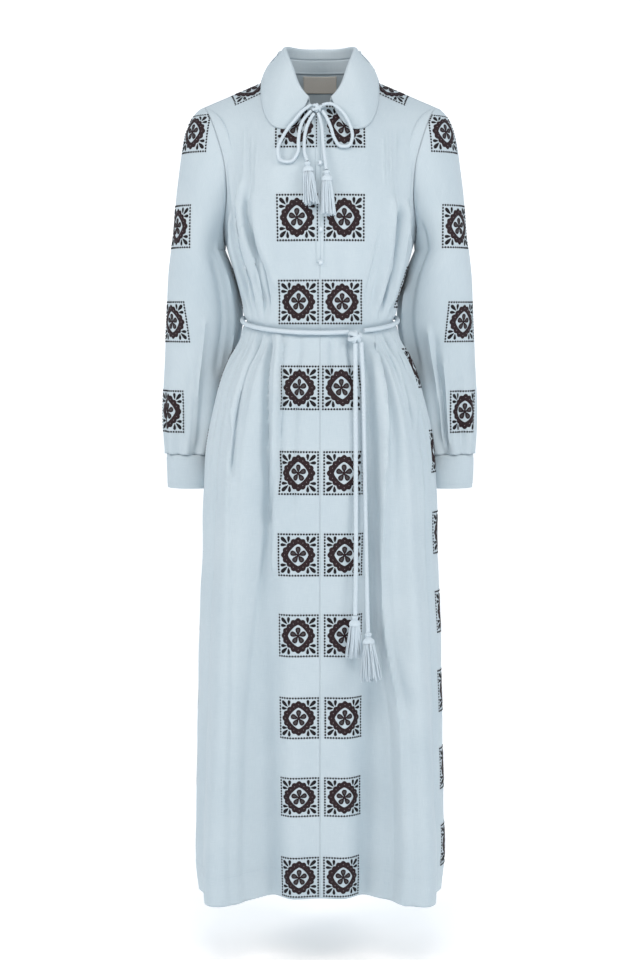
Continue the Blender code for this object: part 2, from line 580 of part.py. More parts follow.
def make_sleeve(name, sign, turns, outer, finish):
    """A full sleeve. Its first row is the body's own armhole edge, moved off by the seam gap, and each
    column is a cubic curve from there to the first level ring. It then follows the sleeve sections, with
    the pleats growing towards the cuff. Columns run from the shoulder down the front and up the back."""
    places = armhole_columns(turns, sign)
    loop = [turns[place] for place in places]
    edge = outer[-1, places]
    drops = [180 * (abs(t) - FRONT_TIP_TURN) / (90 - FRONT_TIP_TURN) for t in loop if abs(t) <= 90]
    drops += [360 - 180 * (abs(t) - BACK_TIP_TURN) / (90 - BACK_TIP_TURN) for t in loop if abs(t) > 90]
    edge = np.stack((edge, (edge + np.roll(edge, -1, axis=0)) / 2), axis=1).reshape(-1, 3)
    away = armhole_away(edge, sign)
    drops = np.array(drops)
    following = np.append(drops[1:], 360)
    drops = np.stack((drops, (drops + following) / 2), axis=1).ravel()
    angle = np.radians(drops)
    edge = edge + 1.4 * SEAM_GAP * away

    def level_ring(height):
        out, inside, middle, depth = (smooth(height, SLEEVE[:, 0], SLEEVE[:, k]) for k in (1, 2, 3, 4))
        near_cuff = np.clip((-0.42 - height) / 0.17, 0, 1)
        ripple = SLEEVE_PLEAT_DEPTH * near_cuff * np.cos(SLEEVE_PLEATS * angle)
        centre = (out + inside) / 2
        half = (out - inside) / 2
        x = centre + (half + ripple) * np.cos(angle)
        y = middle - (depth + ripple) * np.sin(angle)
        return np.stack((sign * x, y, height + 0 * x), axis=-1)

    first = level_ring(SLEEVE[0, 0])
    top_share = (1 + np.cos(angle))[:, None] / 2
    leave = top_share * np.array((sign * 0.86, 0, -0.50)) + (1 - top_share) * np.array((sign * 0.25, 0, -0.97))
    arrive = np.array((sign * 0.16, 0, -0.987))
    reach = np.linalg.norm(first - edge, axis=-1, keepdims=True) * (0.22 + 0.06 * (1 - top_share))
    rows = []
    for share in (0, 0.12, 0.28, 0.46, 0.64, 0.82):
        rows.append((1 - share) ** 3 * edge + 3 * (1 - share) ** 2 * share * (edge + leave * reach)
                    + 3 * (1 - share) * share**2 * (first - arrive * reach * 1.6) + share**3 * first)
    rows += [level_ring(height) for height in SLEEVE[:, 0]]
    points = np.stack(rows)
    normal = -sign * grid_normals(points, closed=True)
    towards = np.maximum(0, np.sum(normal[0] * away, axis=-1, keepdims=True))
    normal[0] -= towards * away
    normal[0] /= np.linalg.norm(normal[0], axis=-1, keepdims=True)
    made = add_wall(name, points, points - CLOTH * normal, True, finish)
    face_out(made)
    return angle


def face_out(made):
    """Point all faces of a closed mesh outwards."""
    work = bmesh.new()
    work.from_mesh(made.data)
    bmesh.ops.recalc_face_normals(work, faces=work.faces)
    work.to_mesh(made.data)
    work.free()


def make_cuff(name, sign, angle, finish):
    """A cuff 56 mm deep: a smooth tube just below the sleeve's last row, narrowing a little."""
    out, inside, middle, depth = (SLEEVE[-1, k] for k in (1, 2, 3, 4))
    rows = []
    for height, narrower in ((CUFF_TOP, 0.0008), (CUFF_TOP - 0.004, 0.0005), (-0.640, 0.0015), (CUFF_END, 0.0045)):
        centre = (out + inside) / 2 - 0.6 * narrower
        half = (out - inside) / 2 - narrower
        x = centre + half * np.cos(angle)
        y = middle - (depth - narrower) * np.sin(angle)
        rows.append(np.stack((sign * x, y, height - SEAM_GAP + 0 * x), axis=-1))
    points = np.stack(rows)
    normal = -sign * grid_normals(points, closed=True)
    normal[..., 2] = 0
    normal /= np.linalg.norm(normal, axis=-1, keepdims=True)
    made = add_wall(name, points, points - CLOTH * normal, True, finish)
    face_out(made)


def make_collar(turns, outer, normals, tree, cloth):
    """The stand, a band up from the neck seam, and the leaf, which rises from it, rolls over and falls
    to a rounded corner on each side of the front."""
    right = [t for t in turns if 0 < t <= FRONT_NECK_TURN or BACK_NECK_TURN < t <= 180]
    left = [t for t in turns if -FRONT_NECK_TURN <= t < 0 or -180 < t < -BACK_NECK_TURN]
    ordered = sorted(right, key=abs) + sorted(left, key=abs, reverse=True)
    places = ring_columns(turns, ordered)
    seam = outer[-1, places]
    turn, flat = neck_direction(seam)
    height, inward = (smooth(turn, COLLAR_FOLD[:, 0], COLLAR_FOLD[:, k])[:, None] for k in (1, 2))
    fold = seam + np.array((0, 0, 1)) * height - flat * inward
    lean = (fold - seam) / np.linalg.norm(fold - seam, axis=-1, keepdims=True)
    tall = np.minimum(COLLAR_STAND, STAND_SHARE * height)
    bottom = seam + 2 * SEAM_GAP * lean
    stand = np.stack((bottom, bottom + lean * tall / 2, bottom + lean * tall))
    thick = np.stack((normals[-1, places], flat, flat))
    add_wall("collar_stand", stand, stand - CLOTH * thick, False, cloth["collar_stand"])

    start = between_columns(stand[-1] + SEAM_GAP * lean, turn)
    fold = between_columns(fold, turn)
    turn, flat = neck_direction(start)
    side = np.where(start[:, 0] < 0, -1, 1)
    edge = np.stack([smooth(turn, LEAF_EDGE[:, 0], LEAF_EDGE[:, k]) for k in (1, 2, 3)], axis=-1)
    edge[:, 0] *= side
    up = np.array((0, 0, 1))
    rows = [start, (start + fold) / 2]
    for step in (0, 60, 120, 180):
        bend = math.radians(step)
        rows.append(fold + flat * LEAF_ROLL / 2 * (1 - math.cos(bend)) + up * LEAF_ROLL / 2 * math.sin(bend))
    last = rows[-1]
    for fall in (0.25, 0.5, 0.75, 1.0):
        bulge = 0.006 * math.sin(math.pi * fall)
        rows.append(last + (edge - last) * fall + flat * bulge)
    leaf = np.stack(rows)
    leaf[6:] = keep_off(leaf[6:], tree, 0.0028)
    normal = -grid_normals(leaf, closed=False)
    made = add_wall("collar_leaf", leaf, leaf - CLOTH * normal, False, cloth["collar_leaf"])
    face_out(made)


def neck_direction(points):
    """For points near the neck seam, the turn round the neck from its front and the level direction out."""
    angle = np.arctan2(points[:, 0], -(points[:, 1] - (NECK_FRONT[0] + NECK_BACK[0]) / 2))
    return np.degrees(np.abs(angle)), np.stack((np.sin(angle), -np.cos(angle), 0 * angle), axis=-1)


def between_columns(points, turn):
    """Points with more of them on the straight lines between neighbours near the front."""
    rows = []
    for place in range(len(points) - 1):
        count = LEAF_FRONT_COLUMNS if min(turn[place], turn[place + 1]) < 60 else 0
        for share in np.arange(count + 1) / (count + 1):
            rows.append((1 - share) * points[place] + share * points[place + 1])
    rows.append(points[-1])
    return np.stack(rows)


def make_placket(finish, button_finish):
    """The covered edge of the front opening, on the panels' own points moved out, and its buttons."""
    turns = (-2.5, 0.0, 2.5)
    points = body_grid(turns, heights=(PLACKET_END, YOKE_BASE))
    points[-1] += (points[-2] - points[-1]) * 0.06
    normal = grid_normals(points, closed=False)
    flat = points + normal * 1.6 * SEAM_GAP
    add_wall("placket", flat + CLOTH * normal, flat, False, finish)
    for number, height in enumerate(BUTTON_HEIGHTS, start=1):
        share = np.interp(height, points[:, 1, 2], np.arange(len(points)))
        low = int(share)
        place = points[low, 1] + (share - low) * (points[low + 1, 1] - points[low, 1])
        outward = normal[low, 1]
        seat = Vector(place) + Vector(outward) * (1.6 * SEAM_GAP + CLOTH + 2 * SEAM_GAP)
        radius = BUTTON_DIAMETER / 2
        profile = ((0, 0), (radius * 0.8, 0), (radius, 0.0009), (radius * 0.75, 0.0022), (0, 0.0028))
        button = add_turned(f"button_{number}", (0, 0, 0), profile, 12, button_finish)
        button.data.transform(Vector((0, 0, 1)).rotation_difference(Vector(outward)).to_matrix().to_4x4())
        button.location = seat


def make_label(turns, outer, normals, finish):
    """A bare woven label just below the neck seam, inside the back."""
    half = [turns.index(t) for t in (168, 174, 180, -174, -168)]
    inner = outer[-2:, half] - CLOTH * normals[-2:, half]
    inner[:, 0] = (inner[:, 0] + inner[:, 1]) / 2
    inner[:, -1] = (inner[:, -1] + inner[:, -2]) / 2
    inward = -normals[-2:, half]
    rows = np.stack([inner[0] + (inner[1] - inner[0]) * share for share in (0.14, 0.5, 0.86)])
    facing = np.stack([inward[0] + (inward[1] - inward[0]) * share for share in (0.14, 0.5, 0.86)])
    facing /= np.linalg.norm(facing, axis=-1, keepdims=True)
    made = add_wall("neck_label", rows + 3 * SEAM_GAP * facing, rows + (3 * SEAM_GAP + 0.001) * facing, False, finish)
    face_out(made)


def make_belt(cord_finish):
    """The belt: a cord round the waist from one side of its knot to the other, the knot, and two tails."""
    turns = np.linspace(*BELT_TURNS, 43)
    height = np.full(turns.shape, BELT_HEIGHT)
    ring = body_ring(turns, height)
    ahead = body_ring(turns + 0.5, height) - body_ring(turns - 0.5, height)
    outward = np.stack((ahead[:, 1], -ahead[:, 0], 0 * turns), axis=-1)
    outward /= np.linalg.norm(outward, axis=-1, keepdims=True)
    add_cord("belt_cord", ring + outward * (BELT_CORD / 2 + 0.0012), BELT_CORD, cord_finish["belt_cord"])
    add_cord("belt_tail_short", BELT_TAIL_SHORT, BELT_CORD, cord_finish["belt_tail_short"])
    add_cord("belt_tail_long", BELT_TAIL_LONG, BELT_CORD, cord_finish["belt_tail_long"])


def make_tie(cord_finish):
    """The neck tie: a thin cord in a bow with two loops and two tails."""
    add_cord("tie_loop_left", TIE_LOOP_LEFT, TIE_CORD, cord_finish["tie_loop_left"])
    add_cord("tie_loop_right", TIE_LOOP_RIGHT, TIE_CORD, cord_finish["tie_loop_right"])
    add_cord("tie_tail_left", TIE_TAIL_LEFT, TIE_CORD, cord_finish["tie_tail_left"])
    add_cord("tie_tail_right", TIE_TAIL_RIGHT, TIE_CORD, cord_finish["tie_tail_right"])


def make_knot(name, knot, finish):
    """A knot as one rounded solid."""
    middle, half = knot
    bands = [math.radians(angle) for angle in (-90, -60, -30, 0, 30, 60, 90)]
    profile = [(0 if abs(math.cos(band)) < 1e-6 else math.cos(band), math.sin(band)) for band in bands]
    add_turned(name, middle, profile, 12, finish, scale=half)


def main():
    for old in list(bpy.data.objects):
        bpy.data.objects.remove(old, do_unlink=True)
    blue = (0.62, 0.72, 0.79)
    cloth = {name: material(name + "_cloth", blue, 0.85) for name in (
        "front_right", "front_left", "back", "collar_stand", "collar_leaf",
        "sleeve_right", "sleeve_left", "cuff_right", "cuff_left", "placket")}
    cord = {name: material(name + "_braid", blue, 0.75) for name in (
        "belt_cord", "belt_tail_short", "belt_tail_long", "belt_knot", "tie_knot",
        "tie_loop_left", "tie_loop_right", "tie_tail_left", "tie_tail_right", *TASSELS)}
    turns, outer, normals = make_body(cloth)
    tree = surface_tree([np.concatenate((outer, outer[:, :1]), axis=1)])
    for name, sign in (("right", 1), ("left", -1)):
        angle = make_sleeve("sleeve_" + name, sign, turns, outer, cloth["sleeve_" + name])
        make_cuff("cuff_" + name, sign, angle, cloth["cuff_" + name])
    make_collar(turns, outer, normals, tree, cloth)
    make_placket(cloth["placket"], material("button_cover", (0.75, 0.82, 0.87), 0.6))
    make_label(turns, outer, normals, material("label_satin", (0.66, 0.62, 0.55), 0.6))
    make_belt(cord)
    make_knot("belt_knot", BELT_KNOT, cord["belt_knot"])
    make_tie(cord)
    make_knot("tie_knot", TIE_KNOT, cord["tie_knot"])
    for name, (top, end, width) in TASSELS.items():
        add_tassel(name, top, end, width, cord[name])


main()
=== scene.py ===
"""A long shirt dress in pale blue cotton with dark embroidered squares, filled out as when worn.

Metres, +Z up. The front faces -Y and +X is the viewer's right. The origin is between the neck points
of the shoulders. A turn is an angle round the body in degrees: 0 at the centre front, 90 at the +X
side seam, 180 at the centre back, negative on the other side.
"""
import math

import bmesh
import bpy
import numpy as np
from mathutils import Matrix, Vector
from mathutils.bvhtree import BVHTree


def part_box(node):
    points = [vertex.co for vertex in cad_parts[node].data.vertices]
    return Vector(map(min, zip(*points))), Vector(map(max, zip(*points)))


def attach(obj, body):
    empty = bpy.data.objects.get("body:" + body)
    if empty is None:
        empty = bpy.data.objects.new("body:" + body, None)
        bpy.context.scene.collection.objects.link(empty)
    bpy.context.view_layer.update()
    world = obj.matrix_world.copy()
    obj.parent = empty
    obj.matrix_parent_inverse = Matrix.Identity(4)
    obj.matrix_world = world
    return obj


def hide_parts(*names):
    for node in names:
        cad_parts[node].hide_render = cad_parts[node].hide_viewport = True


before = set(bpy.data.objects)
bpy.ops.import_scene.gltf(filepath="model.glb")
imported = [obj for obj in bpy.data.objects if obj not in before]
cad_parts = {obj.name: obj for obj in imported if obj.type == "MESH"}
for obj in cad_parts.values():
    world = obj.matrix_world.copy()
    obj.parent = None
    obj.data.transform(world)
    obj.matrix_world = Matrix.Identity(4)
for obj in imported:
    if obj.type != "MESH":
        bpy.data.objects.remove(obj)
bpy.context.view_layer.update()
stage = bpy.context.scene

# ---- Camera, floor and light ----
# The camera stands 3.3 m in front of the dress at waist height, tipped 4.6 degrees down. The floor and
# the wall behind are one sheet of pale paper, and three large soft boxes light the cloth.
CAMERA_PLACE = (0.0, -3.3, -0.388)
CAMERA_DOWN = 4.574
FOCAL_PIXELS = 2006
FRAME_HEIGHT = 960

camera = bpy.data.cameras.new("studio_camera")
camera.sensor_fit = "VERTICAL"
camera.sensor_height = 24
camera.lens = 24 * FOCAL_PIXELS / FRAME_HEIGHT
camera_object = bpy.data.objects.new("studio_camera", camera)
camera_object.location = CAMERA_PLACE
camera_object.rotation_euler = (math.radians(90 - CAMERA_DOWN), 0, 0)
stage.collection.objects.link(camera_object)
stage.camera = camera_object
stage.view_settings.view_transform = "Standard"


def linear(code):
    """An sRGB hex colour as linear RGBA."""
    parts = np.array([int(code[k:k + 2], 16) for k in (1, 3, 5)]) / 255
    parts = np.where(parts <= 0.04045, parts / 12.92, ((parts + 0.055) / 1.055) ** 2.4)
    return (*map(float, parts), 1.0)


def node(tree, kind, inputs=None, **settings):
    """Add one shader node: settings are its own properties, inputs its sockets' values or links."""
    made = tree.nodes.new(kind)
    for name, value in settings.items():
        setattr(made, name, value)
    for name, value in (inputs or {}).items():
        if isinstance(value, bpy.types.NodeSocket):
            tree.links.new(value, made.inputs[name])
        else:
            made.inputs[name].default_value = value
    return made


def new_material(name, colour, roughness):
    """A Principled material; returns it with its tree and its shader."""
    made = bpy.data.materials.new(name)
    made.use_nodes = True
    shader = made.node_tree.nodes["Principled BSDF"]
    shader.inputs["Base Color"].default_value = linear(colour)
    shader.inputs["Roughness"].default_value = roughness
    return made, made.node_tree, shader


def metres_layer(mesh, uv):
    """Give a mesh its map of metres, stated for each point."""
    layer = mesh.uv_layers.new(name="metres")
    corner = np.empty(len(mesh.loops), dtype=np.int32)
    mesh.loops.foreach_get("vertex_index", corner)
    layer.data.foreach_set("uv", np.asarray(uv, float).reshape(-1, 2)[corner].ravel())


def link_mesh(name, points, faces, finish, uv=None):
    """One mesh object from its points, faces and, where given, a map of metres for each point."""
    mesh = bpy.data.meshes.new(name)
    corners = [list(map(int, face)) for face in faces]
    mesh.from_pydata(np.asarray(points, float).reshape(-1, 3).tolist(), [], corners)
    if uv is not None:
        metres_layer(mesh, uv)
    mesh.materials.append(finish)
    mesh.validate()
    mesh.shade_smooth()
    mesh.set_sharp_from_angle(angle=math.radians(60))
    made = bpy.data.objects.new(name, mesh)
    stage.collection.objects.link(made)
    return made


def grid_faces(rows, columns, start=0):
    """The four-sided faces of a grid of points, rows by columns."""
    index = start + np.arange(rows * columns).reshape(rows, columns)
    return np.stack((index[:-1, :-1], index[:-1, 1:], index[1:, 1:], index[1:, :-1]), axis=-1).reshape(-1, 4)


FLOOR_HEIGHT = -1.46
paper, _, paper_shader = new_material("matt_backdrop_paper", "#FAFAFA", 0.95)
paper_shader.inputs["Emission Color"].default_value = linear("#FFFFFF")
paper_shader.inputs["Emission Strength"].default_value = 0.32
FLOOR_END, BEND_START, WALL_TOP = 6.0, 2.6, 5.0
bend = [(BEND_START + math.sin(a), FLOOR_HEIGHT + 1 - math.cos(a)) for a in np.linspace(0, math.pi / 2, 14)]
profile = np.array([(-FLOOR_END, FLOOR_HEIGHT)] + bend + [(BEND_START + 1, WALL_TOP)])
across = np.array((-FLOOR_END, FLOOR_END))
sweep = np.stack([np.stack((across, np.full(2, y), np.full(2, z)), axis=-1) for y, z in profile])
backdrop = link_mesh("paper_backdrop", sweep, grid_faces(len(profile), 2), paper)

world = bpy.data.worlds.new("studio_air")
world.use_nodes = True
world.node_tree.nodes["Background"].inputs["Color"].default_value = linear("#DEF1FF")
world.node_tree.nodes["Background"].inputs["Strength"].default_value = 0.50
stage.world = world
LAMPS_FACE = Vector((0, 0, -0.55))
for name, place, size, power, colour in (
        ("key_soft_box", (-2.6, -1.7, 1.0), 1.2, 37, "#FFF1E8"),
        ("fill_soft_box", (2.5, -2.0, 0.8), 1.2, 35, "#FFF4ED"),
        ("top_soft_box", (0.0, -2.3, 1.3), 1.1, 26, "#FFF1E6")):
    lamp = bpy.data.lights.new(name, "AREA")
    lamp.size = size
    lamp.energy = power
    lamp.color = linear(colour)[:3]
    lamp_object = bpy.data.objects.new(name, lamp)
    lamp_object.location = place
    lamp_object.rotation_euler = (LAMPS_FACE - Vector(place)).to_track_quat("-Z", "Y").to_euler()
    stage.collection.objects.link(lamp_object)


def grain_colours(tree, shader, grain, dark, light, ends=(0.0, 1.0)):
    """The base colour runs from dark to light with the grain, between the two ends."""
    ramp = node(tree, "ShaderNodeValToRGB", {"Fac": grain})
    for element, end in zip(ramp.color_ramp.elements, ends):
        element.position = end
    for element, colour in zip(ramp.color_ramp.elements, (dark, light)):
        element.color = linear(colour)
    tree.links.new(ramp.outputs["Color"], shader.inputs["Base Color"])


def grain_bump(tree, shader, grain, strength, distance):
    """The surface stands up with the grain."""
    bumped = node(tree, "ShaderNodeBump", {"Height": grain, "Strength": strength, "Distance": distance})
    tree.links.new(bumped.outputs[0], shader.inputs["Normal"])


# ---- Neck tie and belt tails ----
# Soft braided cotton cord, 5.6 mm thick at the neck and 7.5 mm at the waist. The neck tie is knotted
# in a bow with two loops and two short tails; the belt's two long tails hang from its knot.
TIE_CORD = 0.0056
BELT_CORD = 0.0075
TIE_LAY = 0.016
BELT_LAY = 0.021
TIE_LOOP_LEFT = ((-0.0141, -0.0905, -0.0497), (-0.0195, -0.0925, -0.0532), (-0.0278, -0.0976, -0.0600),
                 (-0.0395, -0.1000, -0.0736), (-0.0506, -0.1010, -0.0875), (-0.0598, -0.1062, -0.1031),
                 (-0.0663, -0.1117, -0.1204), (-0.0620, -0.1170, -0.1378), (-0.0454, -0.1182, -0.1400),
                 (-0.0351, -0.1160, -0.1260), (-0.0340, -0.1102, -0.1073), (-0.0318, -0.1030, -0.0891),
                 (-0.0262, -0.0965, -0.0735), (-0.0190, -0.0930, -0.0640), (-0.0138, -0.0920, -0.0590))
TIE_LOOP_RIGHT = ((0.0037, -0.0905, -0.0500), (0.0110, -0.0912, -0.0480), (0.0183, -0.0940, -0.0486),
                  (0.0315, -0.0984, -0.0575), (0.0415, -0.0998, -0.0700), (0.0481, -0.1012, -0.0844),
                  (0.0510, -0.1058, -0.1010), (0.0450, -0.1114, -0.1150), (0.0323, -0.1117, -0.1159),
                  (0.0225, -0.1085, -0.1031), (0.0175, -0.1028, -0.0872), (0.0112, -0.0965, -0.0715),
                  (0.0040, -0.0920, -0.0590))
TIE_TAIL_LEFT = ((-0.0098, -0.0930, -0.0636), (-0.0150, -0.0960, -0.0720), (-0.0205, -0.1010, -0.0840),
                 (-0.0238, -0.1060, -0.0980), (-0.0248, -0.1110, -0.1120), (-0.0242, -0.1165, -0.1270),
                 (-0.0200, -0.1220, -0.1402))
TIE_TAIL_RIGHT = ((-0.0030, -0.0925, -0.0629), (0.0006, -0.0965, -0.0745), (0.0030, -0.1024, -0.0880),
                  (0.0040, -0.1089, -0.1014), (0.0056, -0.1150, -0.1191), (0.0077, -0.1216, -0.1367),
                  (0.0098, -0.1275, -0.1541))
BELT_TAIL_SHORT = ((0.0561, -0.1036, -0.4261), (0.0562, -0.1115, -0.4830), (0.0564, -0.1149, -0.5360),
                   (0.0567, -0.1165, -0.5893), (0.0570, -0.1170, -0.6427), (0.0573, -0.1170, -0.6966),
                   (0.0574, -0.1168, -0.7507), (0.0571, -0.1166, -0.8052), (0.0564, -0.1165, -0.8598))
BELT_TAIL_LONG = ((0.0655, -0.1025, -0.4244), (0.0682, -0.1079, -0.4835), (0.0693, -0.1102, -0.5402),
                  (0.0704, -0.1110, -0.5972), (0.0716, -0.1112, -0.6547), (0.0728, -0.1112, -0.7125),
                  (0.0740, -0.1112, -0.7709), (0.0753, -0.1114, -0.8295), (0.0768, -0.1120, -0.8882))


def smooth(value, knots, heights):
    """A curve with no corners through knots: each stretch is a cubic whose slopes are those between the
    neighbouring knots. Knots may rise or fall."""
    knots = np.asarray(knots, float)
    heights = np.asarray(heights, float)
    if knots[0] > knots[-1]:
        knots, heights = knots[::-1], heights[::-1]
    value = np.clip(value, knots[0], knots[-1])
    slope = np.gradient(heights, knots)
    low = np.clip(np.searchsorted(knots, value, side="right") - 1, 0, len(knots) - 2)
    span = knots[low + 1] - knots[low]
    t = (value - knots[low]) / span
    return ((2 * t**3 - 3 * t**2 + 1) * heights[low] + (t**3 - 2 * t**2 + t) * span * slope[low]
            + (3 * t**2 - 2 * t**3) * heights[low + 1] + (t**3 - t**2) * span * slope[low + 1])


def run_along(path):
    """How far each point of a path is from the path's start, measured along it."""
    return np.concatenate(((0,), np.cumsum(np.linalg.norm(np.diff(path, axis=0), axis=1))))


def read_path(places, run, path):
    """The points of a path at some places, where run is the place of each of its own points."""
    return np.stack([np.interp(places, run, path[:, k]) for k in range(3)], axis=-1)


def curve_through(knots, spacing):
    """Points at an even spacing along a smooth curve through the knots."""
    knots = np.asarray(knots, float)
    steps = run_along(knots)
    fine = np.linspace(0, steps[-1], 1200)
    path = np.stack([smooth(fine, steps, knots[:, k]) for k in range(3)], axis=-1)
    run = run_along(path)
    return read_path(np.linspace(0, run[-1], max(4, round(run[-1] / spacing) + 1)), run, path)


def unit(vectors):
    """Vectors scaled to length one."""
    return vectors / np.linalg.norm(vectors, axis=-1, keepdims=True)


def cord_surface(path, radius, sides, facing=(0, -1, 0), strands=3, lay=TIE_LAY, swell=0.055):
    """A twisted cord: at each point of the path a ring whose radius swells over each strand, and the
    strands turn round the path once for each lay length. Returns points, faces and metres."""
    tangent = unit(np.gradient(path, axis=0))
    across = unit(np.cross(tangent, np.asarray(facing, float)))
    outward = np.cross(across, tangent)
    run = run_along(path)
    angle = np.linspace(0, math.tau, sides + 1)
    turn = angle[None, :] - math.tau * run[:, None] / lay
    reach = radius * (1 - swell + swell * np.cos(strands * turn))
    points = (path[:, None] + reach[..., None] * (np.cos(angle)[None, :, None] * across[:, None]
                                                  + np.sin(angle)[None, :, None] * outward[:, None]))
    uv = np.stack(np.broadcast_arrays(angle[None, :] * radius, run[:, None]), axis=-1)
    count = len(path)
    faces = grid_faces(count, sides + 1).tolist()
    faces.append(list(range(sides, 0, -1)))
    faces.append(list(range((count - 1) * (sides + 1), count * (sides + 1) - 1)))
    return points.reshape(-1, 3), faces, uv.reshape(-1, 2)


def close_tube(made):
    """Join a tube's first and last side, point its faces outwards and keep it smooth."""
    work = bmesh.new()
    work.from_mesh(made.data)
    bmesh.ops.remove_doubles(work, verts=work.verts, dist=1e-6)
    bmesh.ops.recalc_face_normals(work, faces=work.faces)
    work.to_mesh(made.data)
    work.free()


def joined(parts):
    """Several (points, faces, metres) parts as one."""
    points, faces, uvs, start = [], [], [], 0
    for part_points, part_faces, part_uv in parts:
        points.append(np.asarray(part_points).reshape(-1, 3))
        faces += [[int(k) + start for k in face] for face in part_faces]
        uvs.append(np.asarray(part_uv).reshape(-1, 2))
        start += len(points[-1])
    return np.concatenate(points), faces, np.concatenate(uvs)


def tube_piece(name, mesh, finish, replaced):
    """A closed piece in place of one of the frame's nodes. mesh is its points, its faces and, for a cord,
    its metres."""
    points, faces, *uv = mesh
    made = link_mesh(name, points, faces, finish, *uv)
    close_tube(made)
    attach(made, "root")
    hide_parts(replaced)
    return made


# Braided cotton: matt yarn with a soft sheen; the braid's crossing yarns are 1.4 mm apart
braid, tree, shader = new_material("braided_cotton_cord", "#C8D6DF", 0.72)
place = node(tree, "ShaderNodeUVMap", uv_map="metres")
split = node(tree, "ShaderNodeSeparateXYZ", {0: place.outputs["UV"]})
right_hand = node(tree, "ShaderNodeMath", {0: split.outputs["X"], 1: split.outputs["Y"]}, operation="ADD")
left_hand = node(tree, "ShaderNodeMath", {0: split.outputs["X"], 1: split.outputs["Y"]}, operation="SUBTRACT")
waves = []
for hand in (right_hand, left_hand):
    scaled = node(tree, "ShaderNodeMath", {0: hand.outputs[0], 1: math.tau / 0.0020}, operation="MULTIPLY")
    waves.append(node(tree, "ShaderNodeMath", {0: scaled.outputs[0]}, operation="SINE"))
yarns = node(tree, "ShaderNodeMath", {0: waves[0].outputs[0], 1: waves[1].outputs[0]}, operation="MAXIMUM")
grain_bump(tree, shader, yarns.outputs[0], 0.35, 0.0004)
# Painted shade and highlight: the base colour is darkened to 0.93 where the crossing yarns dip and lightened to
# 1.03 on their crowns
painted_gap_shade = node(tree, "ShaderNodeMapRange",
            {"Value": yarns.outputs[0], "From Min": -1.0, "To Min": 0.93, "To Max": 1.03})
braid_colour_with_painted_shade = node(tree, "ShaderNodeMix", {0: 1.0, "A": linear("#C8D6DF")}, data_type="RGBA", blend_type="MULTIPLY")
tree.links.new(painted_gap_shade.outputs[0], braid_colour_with_painted_shade.inputs["B"])
tree.links.new(braid_colour_with_painted_shade.outputs["Result"], shader.inputs["Base Color"])
shader.inputs["Sheen Weight"].default_value = 0.25
shader.inputs["Sheen Roughness"].default_value = 0.45

cords = {}
for diameter, spacing, sides, lay, routes in (
        (TIE_CORD, 0.0012, 16, TIE_LAY, {"tie_loop_left": TIE_LOOP_LEFT, "tie_loop_right": TIE_LOOP_RIGHT,
                                         "tie_tail_left": TIE_TAIL_LEFT, "tie_tail_right": TIE_TAIL_RIGHT}),
        (BELT_CORD, 0.0014, 18, BELT_LAY, {"belt_tail_short": BELT_TAIL_SHORT,
                                           "belt_tail_long": BELT_TAIL_LONG})):
    for name, knots in routes.items():
        route = curve_through(knots, spacing)
        surface = cord_surface(route, diameter / 2, sides, lay=lay)
        cords[name] = (tube_piece(name + "_cord", surface, braid, name), route, diameter)

# ---- Tassels ----
# Each tail ends in a tassel of cotton yarn: a bound neck, a rounded head and a skirt of loose strands.
# A separate yarn is wound round the neck. 58 strands hang from each head.
TASSELS = {
    "tassel_tie_left": ((-0.0198, -0.1232, -0.1412), (-0.0142, -0.1440, -0.2080), 0.0205, 1.20),
    "tassel_tie_right": ((0.0102, -0.1285, -0.1550), (0.0132, -0.1455, -0.2252), 0.0205, 1.12),
    "tassel_belt_short": ((0.0562, -0.1165, -0.8604), (0.0548, -0.1060, -0.9304), 0.0230, 1.25),
    "tassel_belt_long": ((0.0772, -0.1122, -0.8888), (0.0816, -0.1370, -0.9628), 0.0230, 1.50),
}
STRANDS = 58
HEAD_SHARE = 0.24


